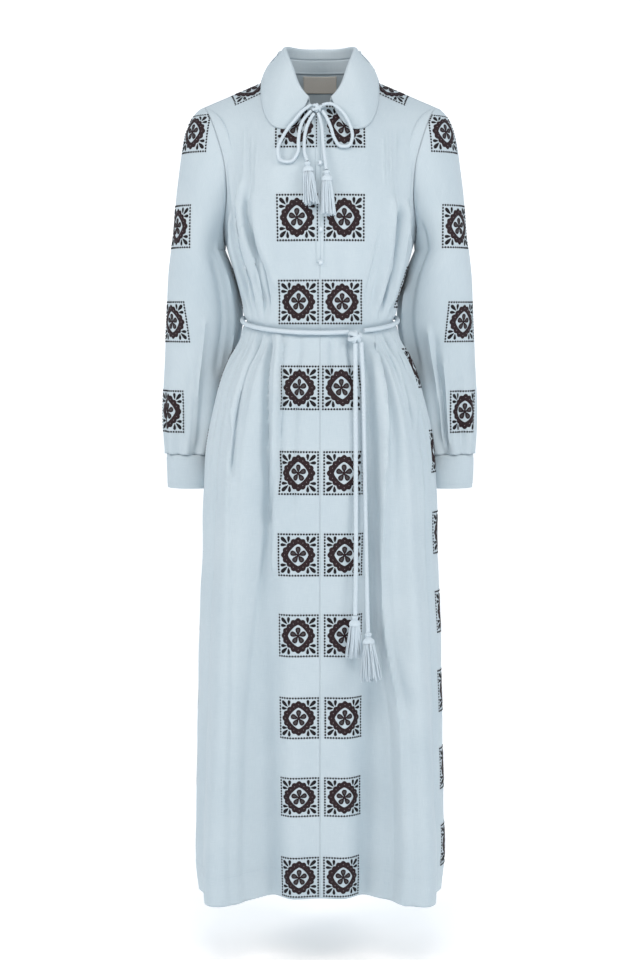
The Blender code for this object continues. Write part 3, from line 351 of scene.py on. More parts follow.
def tassel_parts(top, end, width, flare, seed):
    """The parts of one tassel. The head is turned: its radius is a smooth curve of the distance down.
    Each strand is a thin tube that leaves the head's rim, swings out and hangs, a little uneven."""
    rng = np.random.default_rng(seed)
    top, end = np.asarray(top), np.asarray(end)
    axis = end - top
    side = unit(np.cross(axis, (0.0, -1.0, 0.0)))
    front = unit(np.cross(side, axis))
    flat = 0.62
    down = np.linspace(0, 1, 22)
    out = smooth(down, (0, 0.10, 0.2, 0.3, 0.42, 0.6, 0.8, 1.0),
                 (0.30, 0.46, 0.44, 0.32, 0.38, 0.68, 0.80, 0.74))
    angle = np.linspace(0, math.tau, 25)
    ridged = 1 + 0.035 * np.cos(24 * angle)[None, :]
    ring = (np.cos(angle)[:, None] * side + flat * np.sin(angle)[:, None] * front)
    head = (top + down[:, None, None] * HEAD_SHARE * axis
            + (width / 2 * out)[:, None, None] * ridged[..., None] * ring[None])
    head_uv = np.stack(np.meshgrid(angle * width / 2, down * 0.02), axis=-1)
    parts = [(head, grid_faces(*head.shape[:2]), head_uv)]
    wound = np.linspace(0, 1, 90)
    spiral = (top + (0.25 + 0.10 * wound)[:, None] * HEAD_SHARE * axis
              + (width / 2 * 0.365) * (np.cos(wound * 5 * math.tau)[:, None] * side
                                       + 0.8 * np.sin(wound * 5 * math.tau)[:, None] * front))
    parts.append(cord_surface(spiral, 0.0006, 5, facing=axis, swell=0))
    fall = np.linspace(0, 1, 8)
    places = np.sqrt(rng.uniform(0.05, 1, STRANDS))
    turns = np.arange(STRANDS) * 2.399963
    for place, turn in zip(places, turns):
        out_way = math.cos(turn) * side + flat * math.sin(turn) * front
        start = top + HEAD_SHARE * 0.86 * axis + width / 2 * 0.60 * place * out_way
        length = (1 - HEAD_SHARE * 0.86) * rng.uniform(0.93, 1.03)
        spread = width / 2 * (flare - 0.60) * place
        wave = 0.0005 * rng.uniform(0.3, 1.4)
        bend_way = rng.uniform(0, math.tau)
        line = (start + (fall * length)[:, None] * axis + (spread * fall**0.7)[:, None] * out_way
                + (wave * np.sin(fall * rng.uniform(4, 9) + bend_way))[:, None] * side)
        parts.append(cord_surface(line, rng.uniform(0.00090, 0.00118), 5, swell=0))
    return parts


yarn, tree, shader = new_material("loose_cotton_yarn", "#C3D2DC", 0.8)
place = node(tree, "ShaderNodeTexCoord")
fuzz = node(tree, "ShaderNodeTexNoise", {"Vector": place.outputs["Object"], "Scale": 900.0, "Detail": 3.0})
grain_colours(tree, shader, fuzz.outputs["Fac"], "#B3C4CF", "#D2DEE6")
grain_bump(tree, shader, fuzz.outputs["Fac"], 0.3, 0.0003)
shader.inputs["Sheen Weight"].default_value = 0.3

for seed, (name, (top, end, width, flare)) in enumerate(TASSELS.items(), start=11):
    mesh = joined(tassel_parts(top, end, width, flare, seed))[:2]
    tube_piece(name + "_yarn", mesh, yarn, name)

# A tail ends in its tassel and a loop in its knot. This loop only reads back each cord with its route and
# thickness
for name, far_end, at_end in (("tie_tail_left", "fitting", ["tassel_tie_left"]),
                              ("tie_tail_right", "fitting", ["tassel_tie_right"]),
                              ("tie_loop_left", "object", []), ("tie_loop_right", "object", []),
                              ("belt_tail_short", "fitting", ["tassel_belt_short"]),
                              ("belt_tail_long", "fitting", ["tassel_belt_long"])):
    made, route, diameter = cords[name]

# ---- Body: two fronts and a back ----
# Plain-woven cotton, cut wide and gathered by the belt. Four narrow tucks are stitched down below each
# shoulder and open into folds; more folds start at the belt and run to a hem 50 mm deep.
CLOTH = 0.0015
HEM_HEIGHT = -1.336
BELT_HEIGHT = -0.389
BELT_SAG = 0.020
YOKE_BASE = -0.280
YOKE_LENGTH = 0.24
HEM_DEPTH = 0.050
FRONT_NECK_TURN, FRONT_TIP_TURN, BACK_TIP_TURN, BACK_NECK_TURN = 31.5, 58.5, 120.0, 150.0
NECK_HALF_WIDTH = 0.068
NECK_FRONT = (-0.078, -0.048)
NECK_BACK = (0.062, 0.018)
NECK_SIDE_TURN = 95.0
SHOULDER_TIP = (0.1895, 0.004, -0.0445)
ARMPIT_HEIGHT = -0.236
ARMHOLE_FRONT, ARMHOLE_BACK = 0.060, 0.058
ARMHOLE_OUT = np.array(((0, 0.1895), (30, 0.180), (60, 0.166), (90, 0.153), (120, 0.150), (150, 0.155),
                        (180, 0.1605)))
# Height, half width, reach to the front, reach to the back, y of the side line
SECTIONS = np.array((
    (-1.336, 0.2035, 0.100, 0.150, 0.000), (-1.300, 0.2070, 0.101, 0.149, -0.001),
    (-1.170, 0.2060, 0.103, 0.146, -0.004), (-1.003, 0.2020, 0.106, 0.142, -0.008),
    (-0.868, 0.1980, 0.110, 0.138, -0.012), (-0.768, 0.1930, 0.114, 0.134, -0.016),
    (-0.668, 0.1910, 0.118, 0.128, -0.018), (-0.586, 0.1850, 0.120, 0.121, -0.017),
    (-0.520, 0.1720, 0.119, 0.112, -0.014), (-0.454, 0.1505, 0.113, 0.099, -0.008),
    (-0.415, 0.1310, 0.104, 0.088, -0.002), (-0.389, 0.1225, 0.100, 0.084, 0.000),
    (-0.360, 0.1275, 0.105, 0.087, 0.000), (-0.320, 0.1385, 0.116, 0.095, 0.001),
    (-0.280, 0.1500, 0.125, 0.103, 0.002), (-0.240, 0.1600, 0.131, 0.109, 0.002),
))
# Main folds: turn at belt and hem, half width at belt and hem in degrees, millimetres out at each height
FOLD_HEIGHTS = (-0.10, -0.17, -0.28, -0.345, -0.389, -0.45, -0.60, -0.85, -1.10, -1.336)
FOLDS = (
    (-46, -47, 9, 13, 0, 0, 0, 0, 0, 3, 11, 27, 42, 56), (46, 47, 9, 13, 0, 0, 0, 0, 0, 4, 13, 29, 44, 58),
    (-28, -26, 7, 9, 0, 0, 0, 0, 0, 0, -9, -22, -34, -45),
    (27, 24, 7, 9, 0, 0, 0, 0, 0, -3, -12, -24, -34, -45),
    (0, 0, 14, 16, 0, 0, 0, 0, 0, 0, -3, -11, -20, -30), (-45, -41, 3, 4, 0, -3, -8, -8, 0, -8, -6, -3, 0, 0),
    (-54, -54, 3, 4, 0, -3, -6, -6, 0, -6, -3, 0, 0, 0), (-63, -66, 3, 5, 0, -3, -6, -6, 0, -5, -4, -3, -2, 0),
    (-72, -74, 3, 5, 0, -3, -5, -5, 0, -5, -2, 0, 0, 0), (40.5, 38, 3, 5, 0, 0, -3, -5, 0, -9, -9, -7, -5, -4),
    (49.5, 54, 3, 4, 0, -3, -7, -7, 0, -6, -4, -2, 0, 0), (63, 63, 3, 5, 0, -3, -6, -6, 0, -7, -4, -3, -3, -3),
    (72, 74, 3, 5, 0, -3, -5, -5, 0, -5, -2, 0, 0, 0), (-58, -60, 16, 18, 0, 2, 5, 4, 0, 3, 1, 0, 0, 0),
    (58, 60, 16, 18, 0, 2, 5, 4, 0, 3, 1, 0, 0, 0), (-18, -12, 5, 6, 0, 0, -2, -4, 0, -4, -2, 0, 0, 0),
    (16, 12, 5, 6, 0, 0, -2, -3, 0, -3, -1, 0, 0, 0), (114, 118, 6, 9, 0, 0, -3, -5, 0, -6, -4, 6, 14, 20),
    (132, 134, 6, 8, 0, 0, -4, -6, 0, -7, -8, -12, -15, -18),
    (150, 150, 6, 9, 0, 0, 3, 4, 0, 5, 10, 16, 20, 25),
    (168, 166, 6, 8, 0, 0, -4, -6, 0, -7, -9, -13, -16, -18),
    (-118, -116, 6, 9, 0, 0, -3, -5, 0, -6, -3, 5, 12, 18),
    (-136, -132, 6, 8, 0, 0, -4, -6, 0, -7, -8, -11, -13, -16),
    (-152, -149, 6, 9, 0, 0, 3, 4, 0, 5, 9, 17, 22, 27),
    (-168, -165, 6, 8, 0, 0, -4, -6, 0, -7, -8, -10, -12, -14),
)
CREASE_DEPTH = 1.9
CREASE_FADE, CREASE_OVERRUN = 0.028, 0.006
TUCK = 1.5
# Creases placed one by one: half width and depth in millimetres (a ridge is positive), how much steeper one
# side is, and the line from top to bottom as (turn, height). TUCK is the half width of a stitched tuck
CREASES = (
    # stitched tucks and the folds that open from them, viewer's left
    (TUCK, 1.1, 0.5, ((-48.5, -0.085), (-49.0, -0.168))), (TUCK, 1.1, 0.5, ((-46.5, -0.085), (-46.8, -0.170))),
    (TUCK, 1.1, 0.5, ((-44.6, -0.092), (-44.4, -0.175))), (TUCK, 0.9, 0.5, ((-41.5, -0.105), (-40.5, -0.190))),
    (5.0, 4.0, 0.6, ((-49, -0.160), (-51, -0.180), (-53.5, -0.205), (-55, -0.238), (-54, -0.282),
                     (-55, -0.317), (-58, -0.372))),
    (4.0, -5.0, -0.5, ((-47, -0.190), (-47.5, -0.222), (-46, -0.246), (-43.5, -0.272), (-39, -0.309),
                       (-38.5, -0.341), (-40, -0.378))),
    (6.0, 4.5, -0.5, ((-50.5, -0.196), (-50.5, -0.222), (-49.5, -0.246), (-48, -0.272), (-45, -0.309),
                      (-45, -0.341), (-47, -0.378))),
    (6.0, 2.2, 0.3, ((-43, -0.178), (-42.5, -0.219), (-40, -0.255), (-34, -0.300), (-31, -0.345))),
    (4.0, -3.0, 0.3, ((-60, -0.200), (-61, -0.240), (-61, -0.290), (-62, -0.340), (-61, -0.378))),
    (5.0, 3.5, 0.5, ((-66.5, -0.215), (-66, -0.250), (-66, -0.290), (-66, -0.328), (-65, -0.372))),
    # the same on the viewer's right
    (TUCK, 1.1, -0.5, ((48.5, -0.085), (49.5, -0.168))), (TUCK, 1.1, -0.5, ((46.0, -0.085), (45.4, -0.170))),
    (TUCK, 1.0, -0.5, ((43.6, -0.088), (43.0, -0.175))), (TUCK, 0.9, -0.5, ((41.5, -0.092), (40.2, -0.180))),
    (4.0, -5.5, 0.5, ((51, -0.205), (51.5, -0.243), (52, -0.276), (54, -0.303), (52, -0.344), (52, -0.378))),
    (6.0, 4.0, 0.5, ((46, -0.190), (46.5, -0.240), (47, -0.285), (46.5, -0.330), (46.5, -0.378))),
    (6.0, 4.5, -0.4, ((55.5, -0.196), (58, -0.240), (59, -0.290), (59, -0.340), (58.5, -0.378))),
    (4.0, -3.5, 0.3, ((63, -0.225), (65, -0.260), (65.5, -0.300), (66, -0.345), (66, -0.378))),
    (4.0, -2.4, 0.2, ((37, -0.250), (36, -0.300), (34, -0.345), (33.5, -0.378))),
    # folds that the belt gathers into the skirt, viewer's left
    (5.0, -6.0, -0.6, ((-49.5, -0.405), (-49, -0.440), (-48.5, -0.480), (-47, -0.545), (-46, -0.640))),
    (6.0, 4.0, -0.4, ((-54, -0.405), (-53, -0.450), (-52, -0.500), (-51, -0.560))),
    (4.0, -6.5, -0.5, ((-41, -0.405), (-36, -0.440), (-32, -0.485), (-29, -0.540), (-27.5, -0.620),
                       (-27, -0.720))),
    (7.0, 4.5, 0.5, ((-34, -0.405), (-29, -0.450), (-26, -0.500), (-24, -0.580), (-23, -0.680), (-23, -0.800))),
    (3.5, -3.5, 0.6, ((-29, -0.405), (-25, -0.450), (-22, -0.500), (-20.5, -0.570), (-20, -0.660))),
    (5.0, -2.5, 0.0, ((-15, -0.410), (-14, -0.470), (-13, -0.560), (-13, -0.700))),
    (6.0, -3.5, 0.4, ((-22, -0.610), (-28, -0.750), (-31.5, -0.870), (-34.5, -1.030), (-35, -1.170),
                      (-35, -1.336))),
    (2.5, -1.4, 0.4, ((-55, -0.520), (-48, -0.640), (-43.5, -0.800), (-42, -0.900), (-41, -1.100),
                      (-40, -1.336))),
    # and on the viewer's right
    (7.0, 6.0, -0.7, ((43, -0.410), (38.5, -0.450), (36.5, -0.500), (35.5, -0.564), (34.0, -0.644),
                      (33, -0.740), (32.5, -0.840), (34, -0.920), (37.5, -1.000), (39, -1.164), (39, -1.336))),
    (8.0, -6.5, 0.3, ((33, -0.420), (29, -0.485), (27, -0.590), (27, -0.690), (27, -0.780), (28, -0.908),
                      (31, -1.004), (33, -1.164), (33, -1.336))),
    (3.5, -6.0, 0.6, ((53, -0.405), (55.5, -0.425), (57.5, -0.450), (56, -0.490), (54, -0.560))),
    (6.0, 4.0, 0.3, ((61, -0.405), (62, -0.440), (62, -0.480), (60, -0.550))),
    (4.0, -3.0, 0.2, ((22, -0.410), (20, -0.450), (18, -0.500))),
    (5.0, -3.0, 0.2, ((8, -0.415), (7, -0.460), (6.5, -0.520))),
    (5.0, 1.6, 0.2, ((58, -0.600), (57, -0.760), (58, -0.900), (59, -1.100))),
    # sides and back
    (4.5, -4.0, 0.4, ((76, -0.405), (78, -0.460), (79, -0.540), (80, -0.640))),
    (4.5, -4.0, -0.4, ((-76, -0.405), (-78, -0.460), (-79, -0.540), (-80, -0.640))),
    (5.0, 1.0, 0.3, ((100, -0.300), (102, -0.345), (103, -0.375))),
    (5.0, 1.0, -0.3, ((-100, -0.300), (-102, -0.345), (-103, -0.375))),
    (4.5, -4.5, 0.4, ((124, -0.270), (124, -0.330), (125, -0.375))),
    (4.5, -4.5, -0.4, ((-126, -0.270), (-126, -0.330), (-127, -0.375))),
    (5.0, 3.5, 0.4, ((142, -0.230), (141, -0.300), (140, -0.375))),
    (5.0, 3.5, -0.3, ((-144, -0.240), (-143, -0.310), (-142, -0.375))),
    (4.5, -1.6, 0.4, ((158, -0.250), (159, -0.320), (160, -0.375))),
    (4.5, -1.6, -0.4, ((-160, -0.260), (-161, -0.320), (-161, -0.375))),
    (4.5, -5.0, 0.5, ((120, -0.405), (121, -0.470), (122, -0.560), (123, -0.700))),
    (4.5, -5.0, -0.5, ((-122, -0.405), (-123, -0.470), (-123, -0.560), (-124, -0.680))),
    (6.0, 4.5, 0.4, ((142, -0.405), (143, -0.480), (144, -0.600), (145, -0.800))),
    (6.0, 4.5, -0.4, ((-143, -0.405), (-144, -0.490), (-144, -0.620), (-145, -0.780))),
    (4.5, -5.0, 0.4, ((160, -0.405), (160, -0.470), (159, -0.600), (159, -0.760))),
    (4.5, -5.0, -0.4, ((-160, -0.405), (-160, -0.480), (-159, -0.590), (-158, -0.740))),
    (6.0, 4.0, 0.2, ((178, -0.405), (178, -0.500), (177, -0.640), (176, -0.820))),
)


def fold_offset(turn, height):
    """How far the main folds move the cloth out: a bell-shaped ridge or trough for each fold."""
    total = np.zeros(np.broadcast(turn, height).shape)
    down = np.clip((BELT_HEIGHT - height) / (BELT_HEIGHT - HEM_HEIGHT), 0, 1)
    for belt_turn, hem_turn, belt_half, hem_half, *depths in FOLDS:
        centre = belt_turn + (hem_turn - belt_turn) * down
        half = belt_half + (hem_half - belt_half) * down
        away = (turn - centre + 180) % 360 - 180
        total += 0.001 * smooth(height, FOLD_HEIGHTS, depths) * np.exp(-((away / half) ** 2))
    return total


def body_ring(turn, height):
    """The body below the yoke: two half ellipses, front and back, on a common side line, moved out along
    their normal by the folds. The belt's sag lowers the rows near it at the front."""
    angle = np.radians(turn)
    half, front, back, side = (smooth(height, SECTIONS[:, 0], SECTIONS[:, k]) for k in (1, 2, 3, 4))
    reach = np.where(np.cos(angle) > 0, front + side, back - side)
    x = half * np.sin(angle)
    y = side - reach * np.cos(angle)
    normal_x = np.sin(angle) * reach
    normal_y = -np.cos(angle) * half
    size = np.hypot(normal_x, normal_y)
    out = fold_offset(turn, height)
    near_belt = np.exp(-(((height - BELT_HEIGHT) / 0.08) ** 2))
    z = height - BELT_SAG * near_belt * np.clip(np.cos(angle), -0.2, 1)
    return np.stack((x + out * normal_x / size, y + out * normal_y / size, z + 0 * x), axis=-1)


def neck_seam(angle):
    """The seam of the neck at an angle from its front: an ellipse in plan that drops to the front."""
    middle = (NECK_FRONT[0] + NECK_BACK[0]) / 2
    reach = (NECK_BACK[0] - NECK_FRONT[0]) / 2
    drop = ((1 + np.cos(angle)) / 2) ** 2.2
    x = NECK_HALF_WIDTH * np.sin(angle)
    z = NECK_BACK[1] + (NECK_FRONT[1] - NECK_BACK[1]) * drop
    return np.stack((x, middle - reach * np.cos(angle), z), axis=-1)


def armhole(drop):
    """The armhole edge on the +X side: drop is 0 at the shoulder tip, 180 at the armpit and 360 back at
    the tip, down the front first."""
    angle = np.radians(drop)
    reach = np.where(drop <= 180, ARMHOLE_FRONT, ARMHOLE_BACK)
    x = smooth(np.where(drop <= 180, drop, 360 - drop), ARMHOLE_OUT[:, 0], ARMHOLE_OUT[:, 1])
    y = SHOULDER_TIP[1] * (1 + np.cos(angle)) / 2 - reach * np.sin(angle)
    z = (SHOULDER_TIP[2] + ARMPIT_HEIGHT) / 2 + (SHOULDER_TIP[2] - ARMPIT_HEIGHT) / 2 * np.cos(angle)
    return np.stack((x, y, z), axis=-1)


def panel_top(turn):
    """The upper edge of the body at each turn and the direction in which the cloth reaches it: the neck
    seam, then the shoulder seam, then the armhole down to the armpit at 90 degrees."""
    size = np.abs(turn)
    front = size <= 90
    back = np.where(front, -1.0, 1.0)
    neck_turn = np.where(front, FRONT_NECK_TURN, BACK_NECK_TURN)
    tip_turn = np.where(front, FRONT_TIP_TURN, BACK_TIP_TURN)
    on_neck = ((size - neck_turn) * back >= 0)[:, None]
    on_shoulder = ((size - tip_turn) * back >= 0)[:, None]
    share = np.where(front, size / FRONT_NECK_TURN, (180 - size) / (180 - BACK_NECK_TURN))[:, None]
    angle = np.where(front[:, None], share * NECK_SIDE_TURN, 180 - share * (180 - NECK_SIDE_TURN))[:, 0]
    neck = neck_seam(np.radians(angle))
    flat = 0 * turn
    upward = np.stack((0.10 * share[:, 0], -back * 0.45, flat + 0.90), axis=-1)
    sloping = np.stack((flat, -back * 0.93, flat + 0.37), axis=-1)
    neck_way = (1 - share**2) * upward + share**2 * sloping
    along = ((size - neck_turn) / (tip_turn - neck_turn))[:, None]
    shoulder = (1 - along) * neck_seam(np.array(math.radians(NECK_SIDE_TURN))) + along * np.array(SHOULDER_TIP)
    shoulder_way = sloping + np.array((0.7, 0, 0)) * along
    fall = np.clip((size - tip_turn) / (90 - tip_turn), 0, 1)[:, None]
    arm = armhole(np.where(front, 180 * fall[:, 0], 360 - 180 * fall[:, 0]))
    arm_way = (1 - fall) * (sloping + np.array((0.7, 0, 0))) + fall * np.array((0.15, 0, 0.95))
    arm_way[:, 0] += 0.9 * np.sin(math.pi * fall[:, 0]**0.6)
    point = np.where(on_neck, neck, np.where(on_shoulder, shoulder, arm))
    way = unit(np.where(on_neck, neck_way, np.where(on_shoulder, shoulder_way, arm_way)))
    flip = np.stack((np.where(turn >= 0, 1.0, -1.0), flat + 1, flat + 1), axis=-1)
    return point * flip, way * flip


def yoke_rows(turn, shares):
    """The body above the yoke base: each column is a cubic curve that leaves the last ring in line with
    the cloth below and reaches the upper edge in that edge's own direction."""
    base = body_ring(turn, np.full(turn.shape, YOKE_BASE))
    below = body_ring(turn, np.full(turn.shape, YOKE_BASE - 0.01))
    leave = unit(base - below)
    top, arrive = panel_top(turn)
    reach = 0.36 * np.linalg.norm(top - base, axis=-1, keepdims=True)
    s = np.asarray(shares)[:, None, None]
    curve = ((1 - s) ** 3 * base + 3 * (1 - s) ** 2 * s * (base + leave * reach)
             + 3 * (1 - s) * s**2 * (top - arrive * reach) + s**3 * top)
    s = s[..., 0]
    plain = fold_offset(turn, np.full(turn.shape, YOKE_BASE))
    folded = fold_offset(turn[None, :], curve[..., 2]) - plain * (1 - s) ** 2
    outward = np.stack((np.sin(np.radians(turn)), -np.cos(np.radians(turn)), 0 * turn), axis=-1)
    return curve + (folded * np.minimum(1, 3 * s) * np.minimum(1, 4 * (1 - s)))[..., None] * outward


def grid_normals(points):
    """The outward unit normal at each grid point: columns' direction crossed with rows' direction."""
    return unit(np.cross(np.gradient(points, axis=1), np.gradient(points, axis=0)))


def crease_height(turn, z, creases, scale):
    """How far the listed creases lift the cloth: across its line each crease is a bell, steeper on
    one side, and it fades in and out over 28 mm at its ends. scale is metres for each degree of turn."""
    total = np.zeros(turn.shape)
    for half, depth, lean, line in creases:
        line = np.asarray(line, float)
        centre = smooth(z, line[:, 1], line[:, 0])
        away = ((turn - centre + 180) % 360 - 180) * scale * 1000 / half
        away = away / (1 + lean * np.tanh(2 * away))
        top, bottom = line[0, 1], line[-1, 1]
        fade_in = np.clip((top + CREASE_OVERRUN - z) / CREASE_FADE, 0, 1)
        at_hem = bottom <= HEM_HEIGHT + 0.01
        fade_out = 1.0 if at_hem else np.clip((z - bottom + CREASE_OVERRUN) / CREASE_FADE, 0, 1)
        fade = fade_in * fade_in * (3 - 2 * fade_in) * fade_out
        total += 0.001 * CREASE_DEPTH * depth * fade * np.exp(-((away**2) ** 0.75))
    return total


def belt_gathers():
    """Small uneven gathers on both sides of the belt, all round, fixed by a seed."""
    rng = np.random.default_rng(5)
    made = []
    for turn in np.arange(-178, 180, 5.2):
        turn = turn + rng.uniform(-1.6, 1.6)
        long_up, long_down = rng.uniform(0.03, 0.07), rng.uniform(0.035, 0.09)
        for sign, top, bottom in ((1, -0.372 + long_up, -0.374), (1, -0.404, -0.404 - long_down)):
            line = ((turn * (1.0 - 0.03 * sign), top), (turn, (top + bottom) / 2), (turn, bottom))
            from_middle = min(abs(turn), 180 - abs(turn))
            share = 0.12 + 0.88 * min(1.0, max(0.0, (from_middle - 26) / 26))
            made.append((rng.uniform(2.4, 4.2), share * rng.uniform(-2.4, -0.7), rng.uniform(-0.4, 0.4), line))
    return made


def cloth_relief(turn, points):
    """Everything that lies on the body's main form: creases, gathers, the groove under the belt, the
    centre seam, the double cloth of the hem and a slow unevenness of the whole cloth."""
    z = points[..., 2]
    girth = smooth(z, SECTIONS[:, 0], (SECTIONS[:, 1] + SECTIONS[:, 2]) / 2)
    scale = girth * math.pi / 180
    lift = crease_height(turn, z, CREASES + tuple(belt_gathers()), scale)
    belt = BELT_HEIGHT - BELT_SAG * np.clip(np.cos(np.radians(turn)), -0.2, 1)
    lift += (-0.0030 * np.exp(-(((z - belt) / 0.0055) ** 2))
             + 0.0022 * np.exp(-(((z - belt - 0.016) / 0.009) ** 2)))
    lift += 0.0016 * np.exp(-(((z - belt + 0.015) / 0.009) ** 2))
    near = turn * scale
    lift += np.where(z < -0.30, -0.0003, -0.0002) * np.exp(-((near / 0.0012) ** 2))
    lift += 0.0002 * (1 - np.tanh((z - HEM_HEIGHT - HEM_DEPTH) / 0.0012))
    lift += -0.0005 * np.exp(-(((z - HEM_HEIGHT - HEM_DEPTH) / 0.0012) ** 2))
    lift += (0.0009 * np.sin(7.0 * np.radians(turn) + 23 * z)
             * np.sin(31 * z + 2.1 * np.sin(np.radians(3 * turn))))
    fade = np.clip((z - HEM_HEIGHT) / 0.002, 0, 1)
    return lift * np.maximum(fade, 0.7)


def body_grid(turns, gap):
    """Outer points of a body panel, rows about the gap apart from the hem up, with the relief added along
    the normal and faded out at the upper edge."""
    turns = np.asarray(turns, float)
    heights = np.linspace(HEM_HEIGHT, YOKE_BASE, round((YOKE_BASE - HEM_HEIGHT) / gap) + 1)
    shares = np.linspace(0, 1, round(YOKE_LENGTH / gap) + 1)[1:]
    low = body_ring(turns[None, :], heights[:, None])
    plain = np.concatenate((low, yoke_rows(turns, shares)))
    fade = np.concatenate((np.ones(len(heights)), np.clip((1 - shares) / 0.12, 0, 1)))[:, None]
    turn = np.broadcast_to(turns, plain.shape[:2])
    lift = cloth_relief(turn, plain) * fade
    return plain + lift[..., None] * grid_normals(plain)


def metres_of(points):
    """A map in metres: how far each point is along its row and its column."""
    along = np.linalg.norm(np.diff(points, axis=1), axis=-1)
    up = np.linalg.norm(np.diff(points, axis=0), axis=-1)
    along = np.concatenate((np.zeros((len(points), 1)), np.cumsum(along, axis=1)), axis=1)
    up = np.concatenate((np.zeros((1, points.shape[1])), np.cumsum(up, axis=0)), axis=0)
    return np.stack((along - along.mean(axis=1, keepdims=True), up), axis=-1)


def level_rows(grid, levels):
    """A panel's grid read again at level heights, so that its rows are level all the way across."""
    return np.stack([read_path(levels, grid[:, c, 2], grid[:, c]) for c in range(grid.shape[1])], axis=1)


def wrapped(turns):
    """Turns past the centre back as the negative turns of the other side."""
    return np.where(turns > 180, turns - 360, turns)


def cloth_finish(name, colour, dark):
    """Plain-woven cotton voile: matt, with thread slubs along both directions and a fine weave. The real
    threads are 0.3 mm apart and too fine to show, so the weave is drawn at 0.9 mm."""
    made, tree, shader = new_material(name, colour, 0.88)
    place = node(tree, "ShaderNodeUVMap", uv_map="metres")
    fields = []
    for stretch in ((2200, 55, 1), (55, 2200, 1)):
        mapped = node(tree, "ShaderNodeMapping", {"Vector": place.outputs["UV"], "Scale": stretch})
        fields.append(node(tree, "ShaderNodeTexNoise",
                           {"Vector": mapped.outputs[0], "Scale": 1.0, "Detail": 2.0}))
    slub = node(tree, "ShaderNodeMath", {0: fields[0].outputs["Fac"], 1: fields[1].outputs["Fac"]},
                operation="ADD")
    split = node(tree, "ShaderNodeSeparateXYZ", {0: place.outputs["UV"]})
    waves = []
    for axis in ("X", "Y"):
        scaled = node(tree, "ShaderNodeMath", {0: split.outputs[axis], 1: math.tau / 0.0009},
                      operation="MULTIPLY")
        waves.append(node(tree, "ShaderNodeMath", {0: scaled.outputs[0]}, operation="SINE"))
    weave = node(tree, "ShaderNodeMath", {0: waves[0].outputs[0], 1: waves[1].outputs[0]}, operation="MULTIPLY")
    relief = node(tree, "ShaderNodeMath", {0: weave.outputs[0], 1: 0.25, 2: slub.outputs[0]},
                  operation="MULTIPLY_ADD")
    grain_bump(tree, shader, relief.outputs[0], 0.35, 0.0003)
    object_place = node(tree, "ShaderNodeTexCoord")
    wide = node(tree, "ShaderNodeTexNoise",
                {"Vector": object_place.outputs["Object"], "Scale": 7.0, "Detail": 3.0})
    mixed = node(tree, "ShaderNodeMath", {0: slub.outputs[0], 1: wide.outputs["Fac"]}, operation="ADD")
    level = node(tree, "ShaderNodeMath", {0: mixed.outputs[0], 1: 1 / 3}, operation="MULTIPLY")
    grain_colours(tree, shader, level.outputs[0], dark, colour, (0.36, 0.62))
    shader.inputs["Sheen Weight"].default_value = 0.18
    shader.inputs["Sheen Roughness"].default_value = 0.5
    shader.inputs["Specular IOR Level"].default_value = 0.25
    return made


cloth = cloth_finish("pale_blue_cotton_voile", "#C3D0D7", "#B4C4CD")


def cloth_piece(name, points, finish, thick=CLOTH, nodes=()):
    """A panel of cloth: the outer face with its thickness behind it."""
    made = link_mesh(name, points, grid_faces(*points.shape[:2]), finish, metres_of(points))
    wall = made.modifiers.new("cloth thickness", "SOLIDIFY")
    wall.thickness = thick
    wall.offset = -1.0
    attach(made, "root")
    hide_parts(*nodes)
    return made


front_turns = np.linspace(0, 90, 106)
FRONT_GAP, BACK_GAP = 0.0042, 0.0046
body_right = body_grid(front_turns, FRONT_GAP)
body_left = body_grid(-front_turns[::-1], FRONT_GAP)
back_order = np.linspace(90, 270, 145)
body_back = body_grid(wrapped(back_order), BACK_GAP)
front_right = cloth_piece("front_right_panel", body_right, cloth, nodes=["front_right"])
front_left = cloth_piece("front_left_panel", body_left, cloth, nodes=["front_left"])
back_panel = cloth_piece("back_panel", body_back, cloth, nodes=["back"])

# ---- Sleeves and cuffs ----
# Full sleeves set into the armholes, pleated at the wrist into cuffs 56 mm deep. The cuffs are double
# cloth with a line of stitching near both edges. Beside the waist the sleeves are up to 7.5 mm fuller
# inwards than the frame's solids, and below the armpit they are kept off the body.
SLEEVE_GAP, SLEEVE_REACH = 0.0032, 0.040
# Height, outer edge, inner edge, y of the middle, half depth
SLEEVE = np.array((
    (-0.275, 0.2430, 0.1570, 0.012, 0.056), (-0.307, 0.2465, 0.1430, 0.018, 0.057),
    (-0.345, 0.2500, 0.1325, 0.028, 0.057), (-0.389, 0.2530, 0.1290, 0.042, 0.056),
    (-0.438, 0.2555, 0.1370, 0.056, 0.054), (-0.490, 0.2590, 0.1480, 0.064, 0.052),
    (-0.540, 0.2597, 0.1560, 0.066, 0.050), (-0.585, 0.2585, 0.1640, 0.062, 0.046),
    (-0.6115, 0.2560, 0.1740, 0.056, 0.038),
))
CUFF_TOP, CUFF_DEPTH = -0.612, 0.056
CUFF_CLOTH = 0.0018
SLEEVE_PLEATS = 9
SLEEVE_PLEAT_DEPTH = 0.0035
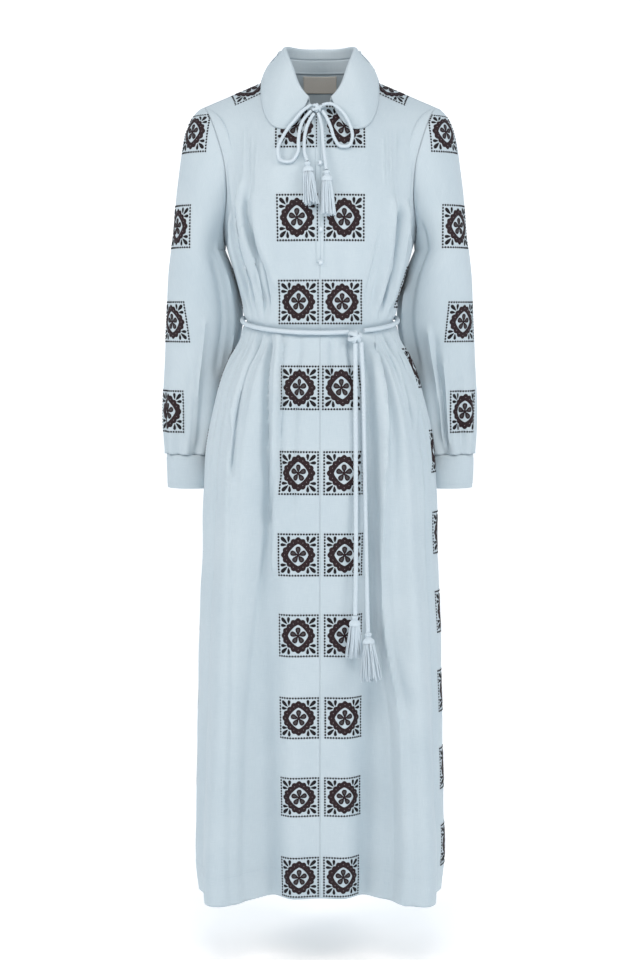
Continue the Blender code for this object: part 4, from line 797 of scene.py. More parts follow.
# Creases: half width and depth in mm, lean, and the line as (angle round the sleeve, height)
SLEEVE_CREASES = {
    1: ((4.0, 3.6, 0.5, ((103, -0.395), (104, -0.450), (101, -0.520), (98, -0.600))),
        (3.0, -3.5, -0.4, ((95, -0.410), (96, -0.470), (94, -0.540), (92, -0.605))),
        (3.0, 2.6, 0.5, ((84, -0.440), (86, -0.500), (87, -0.560), (88, -0.605))),
        (6.0, -3.0, 0.3, ((126, -0.230), (130, -0.300), (132, -0.380), (128, -0.470))),
        (5.0, 3.0, 0.3, ((146, -0.330), (148, -0.420), (143, -0.500), (135, -0.590))),
        (7.0, -2.2, 0.2, ((62, -0.470), (60, -0.520), (58, -0.600))),
        (5.0, -2.5, 0.3, ((200, -0.300), (205, -0.400), (210, -0.500), (215, -0.600))),
        (5.0, 2.5, 0.3, ((240, -0.380), (245, -0.480), (250, -0.600))),
        (5.0, -2.2, 0.3, ((300, -0.440), (300, -0.520), (298, -0.605)))),
    -1: ((2.2, 2.0, 0.6, ((93, -0.380), (93, -0.450), (94, -0.520), (94, -0.605))),
         (5.0, -3.0, -0.3, ((118, -0.280), (119, -0.340), (120, -0.400), (122, -0.480))),
         (5.0, 2.6, 0.3, ((134, -0.260), (137, -0.340), (140, -0.430), (136, -0.560))),
         (6.0, -2.2, 0.2, ((78, -0.470), (76, -0.540), (74, -0.605))),
         (5.0, -2.5, 0.3, ((205, -0.300), (208, -0.400), (212, -0.500), (218, -0.600))),
         (5.0, 2.5, 0.3, ((245, -0.380), (250, -0.480), (252, -0.600))),
         (5.0, -2.2, 0.3, ((304, -0.430), (300, -0.520), (298, -0.605)))),
}
SLEEVE_START_ANGLE = -120


def sleeve_grid(sign, columns=109, row_gap=0.0042):
    """Outer points of a sleeve, rows from the shoulder down. Each column leaves the armhole on a cubic
    curve to the first level ring, then follows the sleeve sections; pleats grow towards the cuff."""
    angle_deg = np.linspace(SLEEVE_START_ANGLE, SLEEVE_START_ANGLE + 360, columns)
    drop = angle_deg % 360
    angle = np.radians(angle_deg)
    edge = armhole(drop) * np.array((sign, 1, 1)) + np.array((sign * 0.0004, 0, 0))

    def level_rings(height):
        out, inside, middle, depth = (smooth(height, SLEEVE[:, 0], SLEEVE[:, k])[:, None] for k in (1, 2, 3, 4))
        near_cuff = np.clip((-0.42 - height) / 0.17, 0, 1)[:, None]
        ripple = SLEEVE_PLEAT_DEPTH * near_cuff * np.cos(SLEEVE_PLEATS * angle)
        x = (out + inside) / 2 + ((out - inside) / 2 + ripple) * np.cos(angle)
        y = middle - (depth + ripple) * np.sin(angle)
        return np.stack((sign * x, y, height[:, None] + 0 * x), axis=-1)

    first = level_rings(SLEEVE[:1, 0])[0]
    top_share = (1 + np.cos(angle))[:, None] / 2
    leave = (top_share * np.array((sign * 0.86, 0, -0.50))
             + (1 - top_share) * np.array((sign * 0.25, 0, -0.97)))
    arrive = np.array((sign * 0.16, 0, -0.987))
    reach = np.linalg.norm(first - edge, axis=-1, keepdims=True) * (0.22 + 0.06 * (1 - top_share))
    s = np.linspace(0, 1, round(0.2 / row_gap) + 1)[:-1, None, None]
    top = ((1 - s) ** 3 * edge + 3 * (1 - s) ** 2 * s * (edge + leave * reach)
           + 3 * (1 - s) * s**2 * (first - arrive * reach * 1.6) + s**3 * first)
    count = round((SLEEVE[0, 0] - SLEEVE[-1, 0]) / row_gap) + 1
    heights = np.linspace(SLEEVE[0, 0], SLEEVE[-1, 0], count)
    points = np.concatenate((top, level_rings(heights)))
    normal = sign * grid_normals(points)
    normal[:, 0] = normal[:, -1] = unit(normal[:, 0] + normal[:, -1])
    wide = np.broadcast_to(drop, points.shape[:2])
    lift = crease_height(wide, points[..., 2], SLEEVE_CREASES[sign], 0.00098)
    seam = np.linalg.norm(points - edge[None], axis=-1)
    lift += 0.0007 * np.exp(-(((seam - 0.005) / 0.0035) ** 2)) - 0.0006 * np.exp(-((seam / 0.0012) ** 2))
    lift += 0.0010 * np.sin(3.0 * angle[None, :] + 34 * points[..., 2]) * np.sin(21 * points[..., 2] + 1.3)
    lift *= np.clip(seam / 0.003, 0, 1) * np.clip((points[..., 2] - SLEEVE[-1, 0]) / 0.006 + 0.35, 0.35, 1)
    proud = CLOTH * np.clip(seam / 0.014, 0, 1)
    return points + (lift + proud)[..., None] * normal


def cuff_grid(sign, columns=97):
    """Outer points of a cuff: a smooth tube that hardly narrows, rolled in at its lower edge."""
    angle = np.radians(np.linspace(SLEEVE_START_ANGLE, SLEEVE_START_ANGLE + 360, columns))
    out, inside, middle, depth = SLEEVE[-1, 1:]
    drop = np.concatenate((np.linspace(0, 0.052, 15), (0.054, 0.0552, CUFF_DEPTH)))
    narrow = np.interp(drop, (0, 0.004, 0.028, CUFF_DEPTH), (0.0006, 0.0002, 0.0005, 0.0012))
    narrow = narrow + np.interp(drop, (0.054, CUFF_DEPTH), (0, 0.0004))
    stitch = 0.0005 * (np.exp(-(((drop - 0.004) / 0.0012) ** 2)) + np.exp(-(((drop - 0.052) / 0.0012) ** 2)))
    ease = 0.0008 * np.sin(3 * angle[None, :] + 0.6 * sign) * np.sin(math.pi * drop[:, None] / CUFF_DEPTH)
    proud = CLOTH + ease - narrow[:, None] - stitch[:, None]
    half = (out - inside) / 2 + proud
    deep = depth + proud
    x = (out + inside) / 2 - 0.6 * narrow[:, None] + half * np.cos(angle)
    y = middle - deep * np.sin(angle)
    return np.stack((sign * x, y, (CUFF_TOP - drop)[:, None] + 0 * x), axis=-1)


def surface_tree(grids):
    """A search tree of some grids' faces."""
    points, faces, start = [], [], 0
    for grid in grids:
        points.append(grid.reshape(-1, 3))
        faces.append(grid_faces(*grid.shape[:2], start))
        start += len(points[-1])
    return BVHTree.FromPolygons(np.concatenate(points).tolist(), np.concatenate(faces).tolist())


def keep_off(points, tree, gap, reach=1.0):
    """Move each point that is nearer to the tree's faces than the gap out along their normal. Points
    further from the faces than the reach stay."""
    moved = points.copy()
    for place in np.ndindex(points.shape[:-1]):
        point = Vector(points[place])
        nearest, normal, _, distance = tree.find_nearest(point)
        height = (point - nearest).dot(normal)
        if height < gap and distance < reach:
            moved[place] = point + (gap - height) * normal
    return moved


sleeves, sleeve_points, cuff_points = {}, {}, {}
for side, sign in (("right", 1), ("left", -1)):
    grid = sleeve_grid(sign)
    body_tree = surface_tree((body_right if sign > 0 else body_left, body_back))
    below = grid[..., 2] < ARMPIT_HEIGHT - 0.002
    grid[below] = keep_off(grid[below], body_tree, SLEEVE_GAP, SLEEVE_REACH)
    sleeve_points[sign] = grid[:, ::sign]
    cuff_points[sign] = cuff_grid(sign)[:, ::sign]
    sleeve, cuff = "sleeve_" + side, "cuff_" + side
    sleeves[sleeve] = cloth_piece(sleeve + "_cloth", sleeve_points[sign], cloth, nodes=[sleeve])
    sleeves[cuff] = cloth_piece(cuff + "_cloth", cuff_points[sign], cloth, CUFF_CLOTH, [cuff])

# ---- Collar ----
# A flat collar with rounded corners on a low stand: double cloth, turned over all round, lying on the
# fronts. The stand is sewn to the neck seam and the leaf to the top of the stand.
# Turn round the neck, height over the neck seam, reach in towards the neck
COLLAR_FOLD = np.array((
    (14, 0.0070, 0.000), (21, 0.0130, 0.001), (29, 0.0220, 0.002), (41, 0.0430, 0.004), (55, 0.0515, 0.008),
    (70, 0.0510, 0.012), (90, 0.0425, 0.014), (120, 0.0375, 0.012), (150, 0.0345, 0.008),
    (180, 0.0350, 0.006),
))
# Turn round the neck, then x, y and z of the free edge
LEAF_EDGE = np.array((
    (14, 0.0235, -0.0865, -0.0570), (20, 0.0365, -0.0925, -0.0764), (26, 0.0500, -0.0955, -0.0862),
    (33, 0.0640, -0.0942, -0.0868), (40, 0.0760, -0.0900, -0.0812), (48, 0.0856, -0.0785, -0.0686),
    (58, 0.0928, -0.0590, -0.0457), (70, 0.0957, -0.0310, -0.0210), (82, 0.0957, -0.0080, -0.0060),
    (95, 0.0950, 0.0120, 0.0010), (120, 0.0880, 0.0520, -0.0020), (150, 0.0540, 0.0820, -0.0080),
    (180, 0.0000, 0.0920, -0.0110),
))
LEAF_ROLL = 0.0075
COLLAR_STAND = 0.024
STAND_SHARE = 0.6
STAND_CLOTH, LEAF_CLOTH = 0.0014, 0.0020
LEAF_GAP = 0.0030
UP = np.array((0, 0, 1))

shoulders = surface_tree((body_right[230:], body_left[230:], body_back[210:]))
half_turns = np.concatenate((np.linspace(14, 62, 40), np.linspace(64, 180, 46)))
turns = np.concatenate((half_turns, -half_turns[-2::-1]))
radians = np.radians(turns)
seam = neck_seam(radians)
flat = np.stack((np.sin(radians), -np.cos(radians), 0 * radians), axis=-1)
height, inward = (smooth(np.abs(turns), COLLAR_FOLD[:, 0], COLLAR_FOLD[:, k])[:, None] for k in (1, 2))
fold = seam + UP * height - flat * inward
lean = unit(fold - seam)
tall = np.minimum(COLLAR_STAND, STAND_SHARE * height)
stand = np.stack([seam - (0.0006 + 0.0012 * max(0, -8 * share)) * flat + lean * tall * share
                  for share in np.linspace(-0.125, 1, 10)])
stand_piece = cloth_piece("collar_stand_cloth", stand, cloth, STAND_CLOTH, ["collar_stand"])

start = seam + lean * tall
edge = np.stack([smooth(np.abs(turns), LEAF_EDGE[:, 0], LEAF_EDGE[:, k]) for k in (1, 2, 3)], axis=-1)
edge[:, 0] *= np.where(turns < 0, -1, 1)
rows = [start + (fold - start) * share for share in (0, 0.25, 0.5, 0.75)]
for step in np.linspace(0, math.pi, 10):
    rows.append(fold + flat * LEAF_ROLL / 2 * (1 - math.cos(step)) + UP * LEAF_ROLL / 2 * math.sin(step))
last = rows[-1]
for fall in np.linspace(0, 1, 27)[1:]:
    bulge = 0.006 * math.sin(math.pi * fall)
    rows.append(last + (edge - last) * fall + flat * bulge)
leaf = np.stack(rows)
ROLL_END = 14
leaf[ROLL_END:] = keep_off(leaf[ROLL_END:], shoulders, LEAF_GAP)
leaf = leaf[:, ::-1]
leaf_piece = cloth_piece("collar_leaf_cloth", leaf, cloth, LEAF_CLOTH, ["collar_leaf"])

# ---- Placket, buttons and loops ----
# The front opening: a narrow facing edged with stitching from the neck to below the chest, closed by
# small cloth-covered buttons that pass through loops of thin cord.
PLACKET_END = -0.300
PLACKET_TURN = 2.5
FACING_RISE, SLIT_DEPTH = 0.0016, 0.0008
FACING_CLOTH = 0.0006
FACING_MIDDLE = 20
BUTTON_HEIGHTS = (-0.143, -0.246, -0.2975)
BUTTON_DIAMETER = 0.0072


def placket_rise(turn, z):
    """How far the facing lifts what lies on it: its rise with soft edges, and a groove at the slit."""
    away = np.abs(turn) / PLACKET_TURN
    edge = np.clip((1.0 - away) / 0.16, 0, 1)
    end = np.clip((z - PLACKET_END) / 0.002, 0, 1)
    slit = np.exp(-(((turn - 0.35) / 0.22) ** 2))
    return (FACING_RISE * edge - SLIT_DEPTH * slit) * end


strip_turns = np.linspace(-PLACKET_TURN, PLACKET_TURN, 41)
strip = body_grid(strip_turns, 0.0025)
strip_turn = np.broadcast_to(strip_turns, strip.shape[:2])
strip = strip + (placket_rise(strip_turn, strip[..., 2]) - 0.0003)[..., None] * grid_normals(strip)
strip = strip[strip[:, FACING_MIDDLE, 2] > PLACKET_END - 0.001][:-1]
placket = cloth_piece("front_facing", strip, cloth, FACING_CLOTH, ["placket"])

covered, tree, shader = new_material("cloth_covered_button", "#D0DCE4", 0.7)
place = node(tree, "ShaderNodeTexCoord")
grain = node(tree, "ShaderNodeTexNoise", {"Vector": place.outputs["Object"], "Scale": 1600.0, "Detail": 2.0})
grain_bump(tree, shader, grain.outputs["Fac"], 0.2, 0.0002)
grain_colours(tree, shader, grain.outputs["Fac"], "#C2D1DB", "#DDE7ED")


def button_parts(seat, outward, up):
    """A covered button and its loop. The button is turned: a rounded cap over a short neck. The loop is
    a thin cord that leaves the opening's edge, passes round the button and goes back."""
    right = unit(np.cross(up, outward))
    radius = BUTTON_DIAMETER / 2
    profile = np.array(((0.0, -0.2), (0.55, -0.2), (0.6, 0.1), (0.92, 0.2), (1.0, 0.42), (0.93, 0.66),
                        (0.7, 0.85), (0.4, 0.95), (0.0, 1.0)))
    angle = np.linspace(0, math.tau, 21)
    ring = np.cos(angle)[:, None] * right + np.sin(angle)[:, None] * up
    cap = (seat + profile[:, :1, None] * radius * ring[None] + profile[:, 1, None, None] * 0.0034 * outward)
    uv = np.stack(np.meshgrid(angle * radius, np.arange(len(profile)) * 0.001), axis=-1)
    sweep = np.linspace(-0.5 * math.pi - 0.5, 0.5 * math.pi + 0.5, 26)
    loop = (seat + 0.0005 * outward
            + (1.12 * radius) * (np.cos(sweep)[:, None] * right + np.sin(sweep)[:, None] * up))
    ends = np.array((-1.0, 1.0))[:, None] * up * 0.0022 - right * 0.0042 + 0.0003 * outward
    loop = np.concatenate((seat + ends[:1], loop, seat + ends[1:]))
    return [(cap, grid_faces(*cap.shape[:2]), uv),
            cord_surface(curve_through(loop, 0.0006), 0.00062, 7, facing=outward, swell=0)]


middle = strip[:, FACING_MIDDLE]
outwards = grid_normals(strip)[:, FACING_MIDDLE]
for number, height in enumerate(BUTTON_HEIGHTS, start=1):
    row = int(np.argmin(np.abs(middle[:, 2] - height)))
    up = unit(middle[min(row + 1, len(middle) - 1)] - middle[row - 1])
    parts = button_parts(middle[row] + 0.0012 * outwards[row], outwards[row], up)
    tube_piece(f"button_{number}_covered", joined(parts)[:2], covered, f"button_{number}")

# ---- Label ----
# A plain woven satin label inside the back of the neck, sewn on at its two ends. It is left bare.
label_finish, tree, shader = new_material("woven_satin_label", "#CBC8C0", 0.5)
place = node(tree, "ShaderNodeUVMap", uv_map="metres")
mapped = node(tree, "ShaderNodeMapping", {"Vector": place.outputs["UV"], "Scale": (3500, 250, 1)})
rib = node(tree, "ShaderNodeTexNoise", {"Vector": mapped.outputs[0], "Scale": 1.0, "Detail": 2.0})
grain_colours(tree, shader, rib.outputs["Fac"], "#CFCBC2", "#E6E3DC")
grain_bump(tree, shader, rib.outputs["Fac"], 0.25, 0.0002)
low, high = (np.array(corner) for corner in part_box("neck_label"))
LABEL_CLOTH, LABEL_CLEAR = 0.0006, 0.0012
plain = yoke_rows(wrapped(np.linspace(166, 194, 33)), np.linspace(0.86, 0.995, 40))
lined = plain - (CLOTH + LABEL_CLEAR) * grid_normals(plain)
label_points = level_rows(lined, smooth(np.linspace(0, 1, 22), (0, 1), (float(low[2]), float(high[2]))))
keep = (np.abs(label_points[0, :, 0]) <= 0.5 * float(high[0] - low[0]) + 0.001)
label_points = label_points[:, keep][:, ::-1]
cloth_piece("neck_label_satin", label_points, label_finish, LABEL_CLOTH, ["neck_label"])

# ---- Belt ----
# The belt's cord lies round the waist and presses the cloth in; its two ends are tied in front of the
# viewer's right hip bone. The knot is made of three turns of the same cord.
BELT_TURNS = (33.5, 380.8)
BELT_CLEAR = 0.0010
ring_turns = np.linspace(*BELT_TURNS, 520)
level = np.full(ring_turns.shape, BELT_HEIGHT)
ring = body_ring(ring_turns, level)
ahead = body_ring(ring_turns + 0.5, level) - body_ring(ring_turns - 0.5, level)
outward = unit(np.stack((ahead[:, 1], -ahead[:, 0], 0 * ring_turns), axis=-1))
ring = ring + outward * (BELT_CORD / 2 + BELT_CLEAR)
surface = cord_surface(ring, BELT_CORD / 2, 18, facing=(0, 0, 1), lay=BELT_LAY)
tube_piece("belt_cord_ring", surface, braid, "belt_cord")


def knot_parts(middle, half, radius, turns):
    """Turns of cord round a knot's middle: each is an oval loop, tipped by its own angles."""
    parts = []
    angle = np.linspace(0, math.tau, 44)
    for tip, roll, size in turns:
        tip, roll = math.radians(tip), math.radians(roll)
        oval = np.stack((half[0] * size * np.cos(angle), half[1] * size * np.sin(angle), 0 * angle), axis=-1)
        tipped = np.stack((oval[:, 0], oval[:, 1] * math.cos(roll), oval[:, 1] * math.sin(roll)), axis=-1)
        turned = np.stack((tipped[:, 0] * math.cos(tip) - tipped[:, 2] * math.sin(tip), tipped[:, 1],
                           tipped[:, 0] * math.sin(tip) + tipped[:, 2] * math.cos(tip)), axis=-1)
        parts.append(cord_surface(np.asarray(middle) + turned, radius, 14, facing=(0.3, 0.2, 1), lay=BELT_LAY))
    return parts


# Middle, half size, the cord's radius, and each turn's tip, roll and size
KNOTS = {
    "belt_knot": ((0.0552, -0.1040, -0.4157), (0.0115, 0.0085), 0.0037,
                  ((24, 20, 0.78), (-38, -24, 0.74), (80, 8, 0.62))),
    "tie_knot": ((-0.0051, -0.0925, -0.0545), (0.0082, 0.0070), 0.0027,
                 ((20, 18, 0.78), (-42, -22, 0.70), (86, 0, 0.6))),
}
for name, knot in KNOTS.items():
    tube_piece(name + "_turns", joined(knot_parts(*knot)), braid, name)

# ---- Embroidered squares ----
# Squares of machine satin stitch in near-black and dark brown cotton: a border of round dots, a scalloped
# ring with eyelets round a rounded window, a flower of five open petals, and three leaves in each corner.
# Two columns run down the front and the back and one down each side and each sleeve. One square lies on
# each shoulder. Lengths inside a square are shares of its half width.
TILE_WIDTH, TILE_HEIGHT = 0.0665, 0.0705
BORDER_DOTS = 15
BORDER, DOT_RADIUS = 0.965, 0.056
EDGE_RISE, SEWN_RISE = 0.00005, 0.00022


def dome(outline, middle, rise):
    """A padded patch of stitches from its outline in the tile's plane: the edge lies on the cloth, an
    inner ring and the middle stand up."""
    count = len(outline)
    inner = middle + (outline - middle) * 0.72
    points = np.concatenate((outline, inner, [middle]))
    heights = np.concatenate((np.full(count, EDGE_RISE), np.full(count, rise), [rise * 1.15]))
    k = np.arange(count)
    n = (k + 1) % count
    faces = np.stack((k, n, n + count, k + count), axis=-1).tolist()
    faces += np.stack((k + count, n + count, np.full(count, 2 * count)), axis=-1).tolist()
    return points, heights, faces


def band(outer, inner, rise):
    """A raised band of stitches between two closed outlines, with sloping edges."""
    count = len(outer)
    rings = (outer, outer + (inner - outer) * 0.2, outer + (inner - outer) * 0.8, inner)
    heights = np.repeat((EDGE_RISE, rise, rise, EDGE_RISE), count)
    k = np.arange(count)
    n = (k + 1) % count
    faces = []
    for ring_number in range(3):
        a = ring_number * count
        faces += np.stack((a + k, a + n, a + count + n, a + count + k), axis=-1).tolist()
    return np.concatenate(rings), heights, faces


def leaf_outline(base, tip, width, count=12):
    """A leaf from its base to its tip: pointed at the base and round near the tip."""
    base, tip = np.asarray(base), np.asarray(tip)
    way = tip - base
    side = np.array((-way[1], way[0])) / np.linalg.norm(way)
    around = np.arange(count) / count * math.tau
    along = (1 - np.cos(around)) / 2
    half = width / 2 * np.sin(around) * (0.35 + 0.75 * along)
    return base + along[:, None] * way + half[:, None] * side


def motif():
    """All patches of one square, in a plane from -1 to 1, as (points, heights, faces, number of the thread)."""
    made = []
    places = np.linspace(-BORDER, BORDER, BORDER_DOTS)
    around = np.arange(7) / 7 * math.tau
    dot = np.stack((np.cos(around), np.sin(around)), axis=-1)
    spots = [(place, end) for place in places for end in (-BORDER, BORDER)]
    spots += [(end, place) for place in places[1:-1] for end in (-BORDER, BORDER)]
    for spot in spots:
        made.append((*dome(np.array(spot) + DOT_RADIUS * dot, np.array(spot), 0.0006), 0))
    turn = np.arange(112) / 112 * math.tau
    ray = np.stack((np.cos(turn), np.sin(turn)), axis=-1)
    scallop = 0.700 + 0.050 * np.cos(4 * turn) + 0.085 * np.abs(np.cos(8 * turn)) ** 0.9
    window = (np.abs(np.cos(turn) / 0.490) ** 1.35 + np.abs(np.sin(turn) / 0.510) ** 1.35) ** (-1 / 1.35)
    made.append((*band(scallop[:, None] * ray, window[:, None] * ray, 0.0007), 1))
    for k in range(16):
        angle = math.tau * k / 16
        reach = 0.47 * scallop[int(k * 7)] + 0.53 * window[int(k * 7)]
        spot = reach * np.array((math.cos(angle), math.sin(angle)))
        points, heights, faces = dome(spot + 0.021 * dot, spot, 0.00014)
        made.append((points, heights + 0.00068, faces, 2))
    for k in range(5):
        angle = math.pi / 2 + math.tau * k / 5
        way = np.array((math.cos(angle), math.sin(angle)))
        outer = leaf_outline(0.04 * way, 0.40 * way, 0.315, 16)
        inner = leaf_outline(0.150 * way, 0.335 * way, 0.150, 16)
        made.append((*band(outer, inner, 0.0006), 1))
        made.append((*dome(inner, 0.25 * way, 0.00025), 3))
    made.append((*dome(dot * 0.085, np.zeros(2), 0.0008), 1))
    for right in (1, -1):
        for up in (1, -1):
            corner = np.array((right, up))
            for base, tip, width in (((0.53, 0.55), (0.84, 0.82), 0.225),
                                     ((0.47, 0.585), (0.46, 0.875), 0.185),
                                     ((0.565, 0.46), (0.87, 0.475), 0.185)):
                base, tip = np.array(base), np.array(tip)
                outline = leaf_outline(base * corner, tip * corner, width)[::right * up]
                made.append((*dome(outline, (base * 0.42 + tip * 0.58) * corner, 0.0007), 0))
    return made


MOTIF = motif()


def cloth_patch(grid, row, column, width, height, offset=0.0, steps=25):
    """Points on the cloth round a place of its grid, measured along the cloth: down the middle column
    first, then along each row, its middle the offset away. Returns steps by steps points, from the
    lower left."""
    index = np.arange(grid.shape[1])
    line = np.array([read_path(column, index, row_points) for row_points in grid])
    run = run_along(line)
    here = np.clip(np.interp(row, np.arange(len(grid)), run), height / 2 + 0.002, run[-1] - height / 2 - 0.002)
    rows = np.interp(here + np.linspace(-0.5, 0.5, steps) * height, run, np.arange(len(grid)))
    patch = []
    for place in rows:
        low = min(int(place), len(grid) - 2)
        across = grid[low] + (place - low) * (grid[low + 1] - grid[low])
        run = run_along(across)
        wanted = np.interp(column, index, run) + offset + np.linspace(-0.5, 0.5, steps) * width
        patch.append(read_path(wanted, run, across))
    return np.stack(patch)


def sew(patch, lift=None):
    """The motif laid on a patch: each of its points is found between the patch's points and moved out
    along the patch's normal by its own height."""
    steps = len(patch)
    normal = grid_normals(patch)
    if lift is not None:
        patch = patch + lift[..., None] * normal
    parts, kinds = [], []
    for flat_points, heights, part_faces, kind in MOTIF:
        place = np.clip((flat_points + 1) / 2 * (steps - 1), 0, steps - 1.001)
        c, r = place[:, 0].astype(int), place[:, 1].astype(int)
        u, v = (place[:, 0] - c)[:, None], (place[:, 1] - r)[:, None]

        def between(field):
            return ((1 - v) * ((1 - u) * field[r, c] + u * field[r, c + 1])
                    + v * ((1 - u) * field[r + 1, c] + u * field[r + 1, c + 1]))

        parts.append((between(patch) + (heights + SEWN_RISE)[:, None] * between(normal), part_faces,
                      flat_points * np.array((TILE_WIDTH, TILE_HEIGHT)) / 2))
        kinds += [kind] * len(part_faces)
    return (*joined(parts), kinds)


def thread_finish(name, colour, other):
    """Satin-stitched cotton thread: parallel stitches 0.5 mm apart with a soft sheen across them."""
    made, tree, shader = new_material(name, colour, 0.62)
    place = node(tree, "ShaderNodeUVMap", uv_map="metres")
    mapped = node(tree, "ShaderNodeMapping",
                  {"Vector": place.outputs["UV"], "Rotation": (0, 0, 0.7), "Scale": (2000, 160, 1)})
    thread = node(tree, "ShaderNodeTexNoise", {"Vector": mapped.outputs[0], "Scale": 1.0, "Detail": 2.0})
    grain_colours(tree, shader, thread.outputs["Fac"], colour, other, (0.3, 0.75))
    grain_bump(tree, shader, thread.outputs["Fac"], 0.5, 0.0003)
    shader.inputs["Specular IOR Level"].default_value = 0.2
    return made


threads = [thread_finish("near_black_satin_thread", "#121014", "#211D21"),
           thread_finish("dark_brown_satin_thread", "#1B1214", "#35252A"),
           thread_finish("pale_eyelet_thread", "#6C6264", "#8C8788"),
           thread_finish("grey_green_petal_thread", "#2E292B", "#545355")]


def embroidery(name, squares):
    """One mesh of several sewn squares, with the four threads as its materials."""
    points, faces, uv = joined([square[:3] for square in squares])
    mesh = bpy.data.meshes.new(name)
    mesh.from_pydata(points.tolist(), [], faces)
    metres_layer(mesh, uv)
    for finish in threads:
        mesh.materials.append(finish)
    mesh.polygons.foreach_set("material_index", np.array([kind for square in squares for kind in square[3]],
                                                         dtype=np.int32))
    mesh.shade_smooth()
    made = bpy.data.objects.new(name, mesh)
    stage.collection.objects.link(made)
    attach(made, "root")


def grid_place(grid, turns, turn, z):
    """The row and column of a panel's grid at a turn and a height."""
    column = float(np.interp(turn, turns, np.arange(len(turns))))
    low = min(int(column), grid.shape[1] - 2)
    heights = grid[:, low, 2] + (column - low) * (grid[:, low + 1, 2] - grid[:, low, 2])
    return float(np.interp(z, heights, np.arange(len(heights)))), column


# Both fronts as one grid, so that a square's inner border can lie at the centre seam
fronts = np.concatenate((body_left[:, :-1], body_right), axis=1)
fronts_turns = np.concatenate((-front_turns[::-1][:-1], front_turns))
inner_front = np.abs(fronts_turns) < 52
fronts, fronts_turns = fronts[:, inner_front], fronts_turns[inner_front]
fronts = level_rows(fronts, np.linspace(HEM_HEIGHT, -0.040, 430))
# Height of each front row, its squares' height, and how far each square's middle is from the centre seam
FRONT_ROWS = (
    (-0.0815, 0.0740, -0.0380, 0.0385), (-0.2280, 0.0740, -0.0365, 0.0385),
    (-0.3600, 0.0720, -0.0350, 0.0360), (-0.4960, 0.0710, -0.0345, 0.0365),
    (-0.6320, 0.0705, -0.0350, 0.0385), (-0.7640, 0.0700, -0.0350, 0.0395),
    (-0.8960, 0.0705, -0.0355, 0.0395), (-1.0320, 0.0690, -0.0350, 0.0405),
    (-1.1640, 0.0660, -0.0345, 0.0400), (-1.2990, 0.0680, -0.0350, 0.0385),
)
squares = []
for z, height, left, right in FRONT_ROWS:
    row, seam_column = grid_place(fronts, fronts_turns, 0.0, z)
    for offset in (left, right):
        patch = cloth_patch(fronts, row, seam_column, TILE_WIDTH, height, offset)
        angle = np.degrees(np.arctan2(patch[..., 0], 0.125 + 0 * patch[..., 0]))
        squares.append(sew(patch, placket_rise(angle, patch[..., 2])))
embroidery("front_embroidery", squares)

# Side columns cross the side seams, so they lie on a strip made of a front's and the back's edge
SIDE_ROWS = (-0.336, -0.466, -0.602, -0.735, -0.866, -0.998, -1.128, -1.258)
SIDE_TURNS = {1: 91.5, -1: -105.0}
SIDE_HEIGHT = 0.070
squares = []
for sign, middle in SIDE_TURNS.items():
    strip_turns = np.linspace(middle - 22, middle + 22, 61)
    side_strip = level_rows(body_grid(strip_turns, 0.0044), np.linspace(HEM_HEIGHT, -0.285, 260))
    for z in SIDE_ROWS:
        row, column = grid_place(side_strip, strip_turns, middle, z)
        squares.append(sew(cloth_patch(side_strip, row, column, TILE_WIDTH, SIDE_HEIGHT)))
embroidery("side_embroidery", squares)

# The back's two columns lie at the front's heights, but for the first row, and at even offsets
BACK_OFFSET = 0.0365
squares = []
inner_back = np.abs(back_order - 180) < 34
back_order = back_order[inner_back]
back_middle = level_rows(body_back[:, inner_back], np.linspace(HEM_HEIGHT, -0.030, 430))
for z, height in ((-0.120, 0.070), *(front_row[:2] for front_row in FRONT_ROWS[1:])):
    row, middle_column = grid_place(back_middle, back_order, 180.0, z)
    for offset in (-BACK_OFFSET, BACK_OFFSET):
        squares.append(sew(cloth_patch(back_middle, row, middle_column, TILE_WIDTH, height, offset)))
embroidery("back_embroidery", squares)

# Sleeves: four squares each, down the outer front; and a square across each shoulder seam.
# Each place is x and z of the middle of the square's inner edge, seen from the front
SLEEVE_SQUARES = {1: ((0.1754, -0.086), (0.1965, -0.238), (0.2062, -0.392), (0.2143, -0.540)),
                  -1: ((-0.1795, -0.086), (-0.2087, -0.238), (-0.2168, -0.392), (-0.2249, -0.540))}
UPRIGHT = Vector((0, 0, 1))


def walk(tree, place, way_at, distance, steps):
    """Points along the cloth from a place: each step goes a short way level with the cloth and is then
    put back on it. way_at gives the direction from the cloth's normal there."""
    points = [place]
    for _ in range(steps):
        _, normal, _, _ = tree.find_nearest(points[-1])
        ahead = points[-1] + way_at(normal).normalized() * (distance / steps)
        points.append(tree.find_nearest(ahead)[0])
    return points


def walked_patch(tree, inner_edge, sign, width, height, steps=25):
    """A patch like cloth_patch's, walked over the cloth: up and down its inner edge first, then outwards
    from each place there, round the sleeve."""
    half = steps // 2
    hit = tree.ray_cast(Vector((inner_edge[0], -1.0, inner_edge[1])), Vector((0, 1, 0)))[0]

    def upward(normal):
        return UPRIGHT - UPRIGHT.dot(normal) * normal

    up = walk(tree, hit, upward, height / 2, half)
    down = walk(tree, hit, lambda normal: -upward(normal), height / 2, half)
    rows = [walk(tree, place, lambda normal: sign * UPRIGHT.cross(normal), width, steps - 1)[::sign]
            for place in down[:0:-1] + up]
    return np.array([[tuple(point) for point in row] for row in rows])


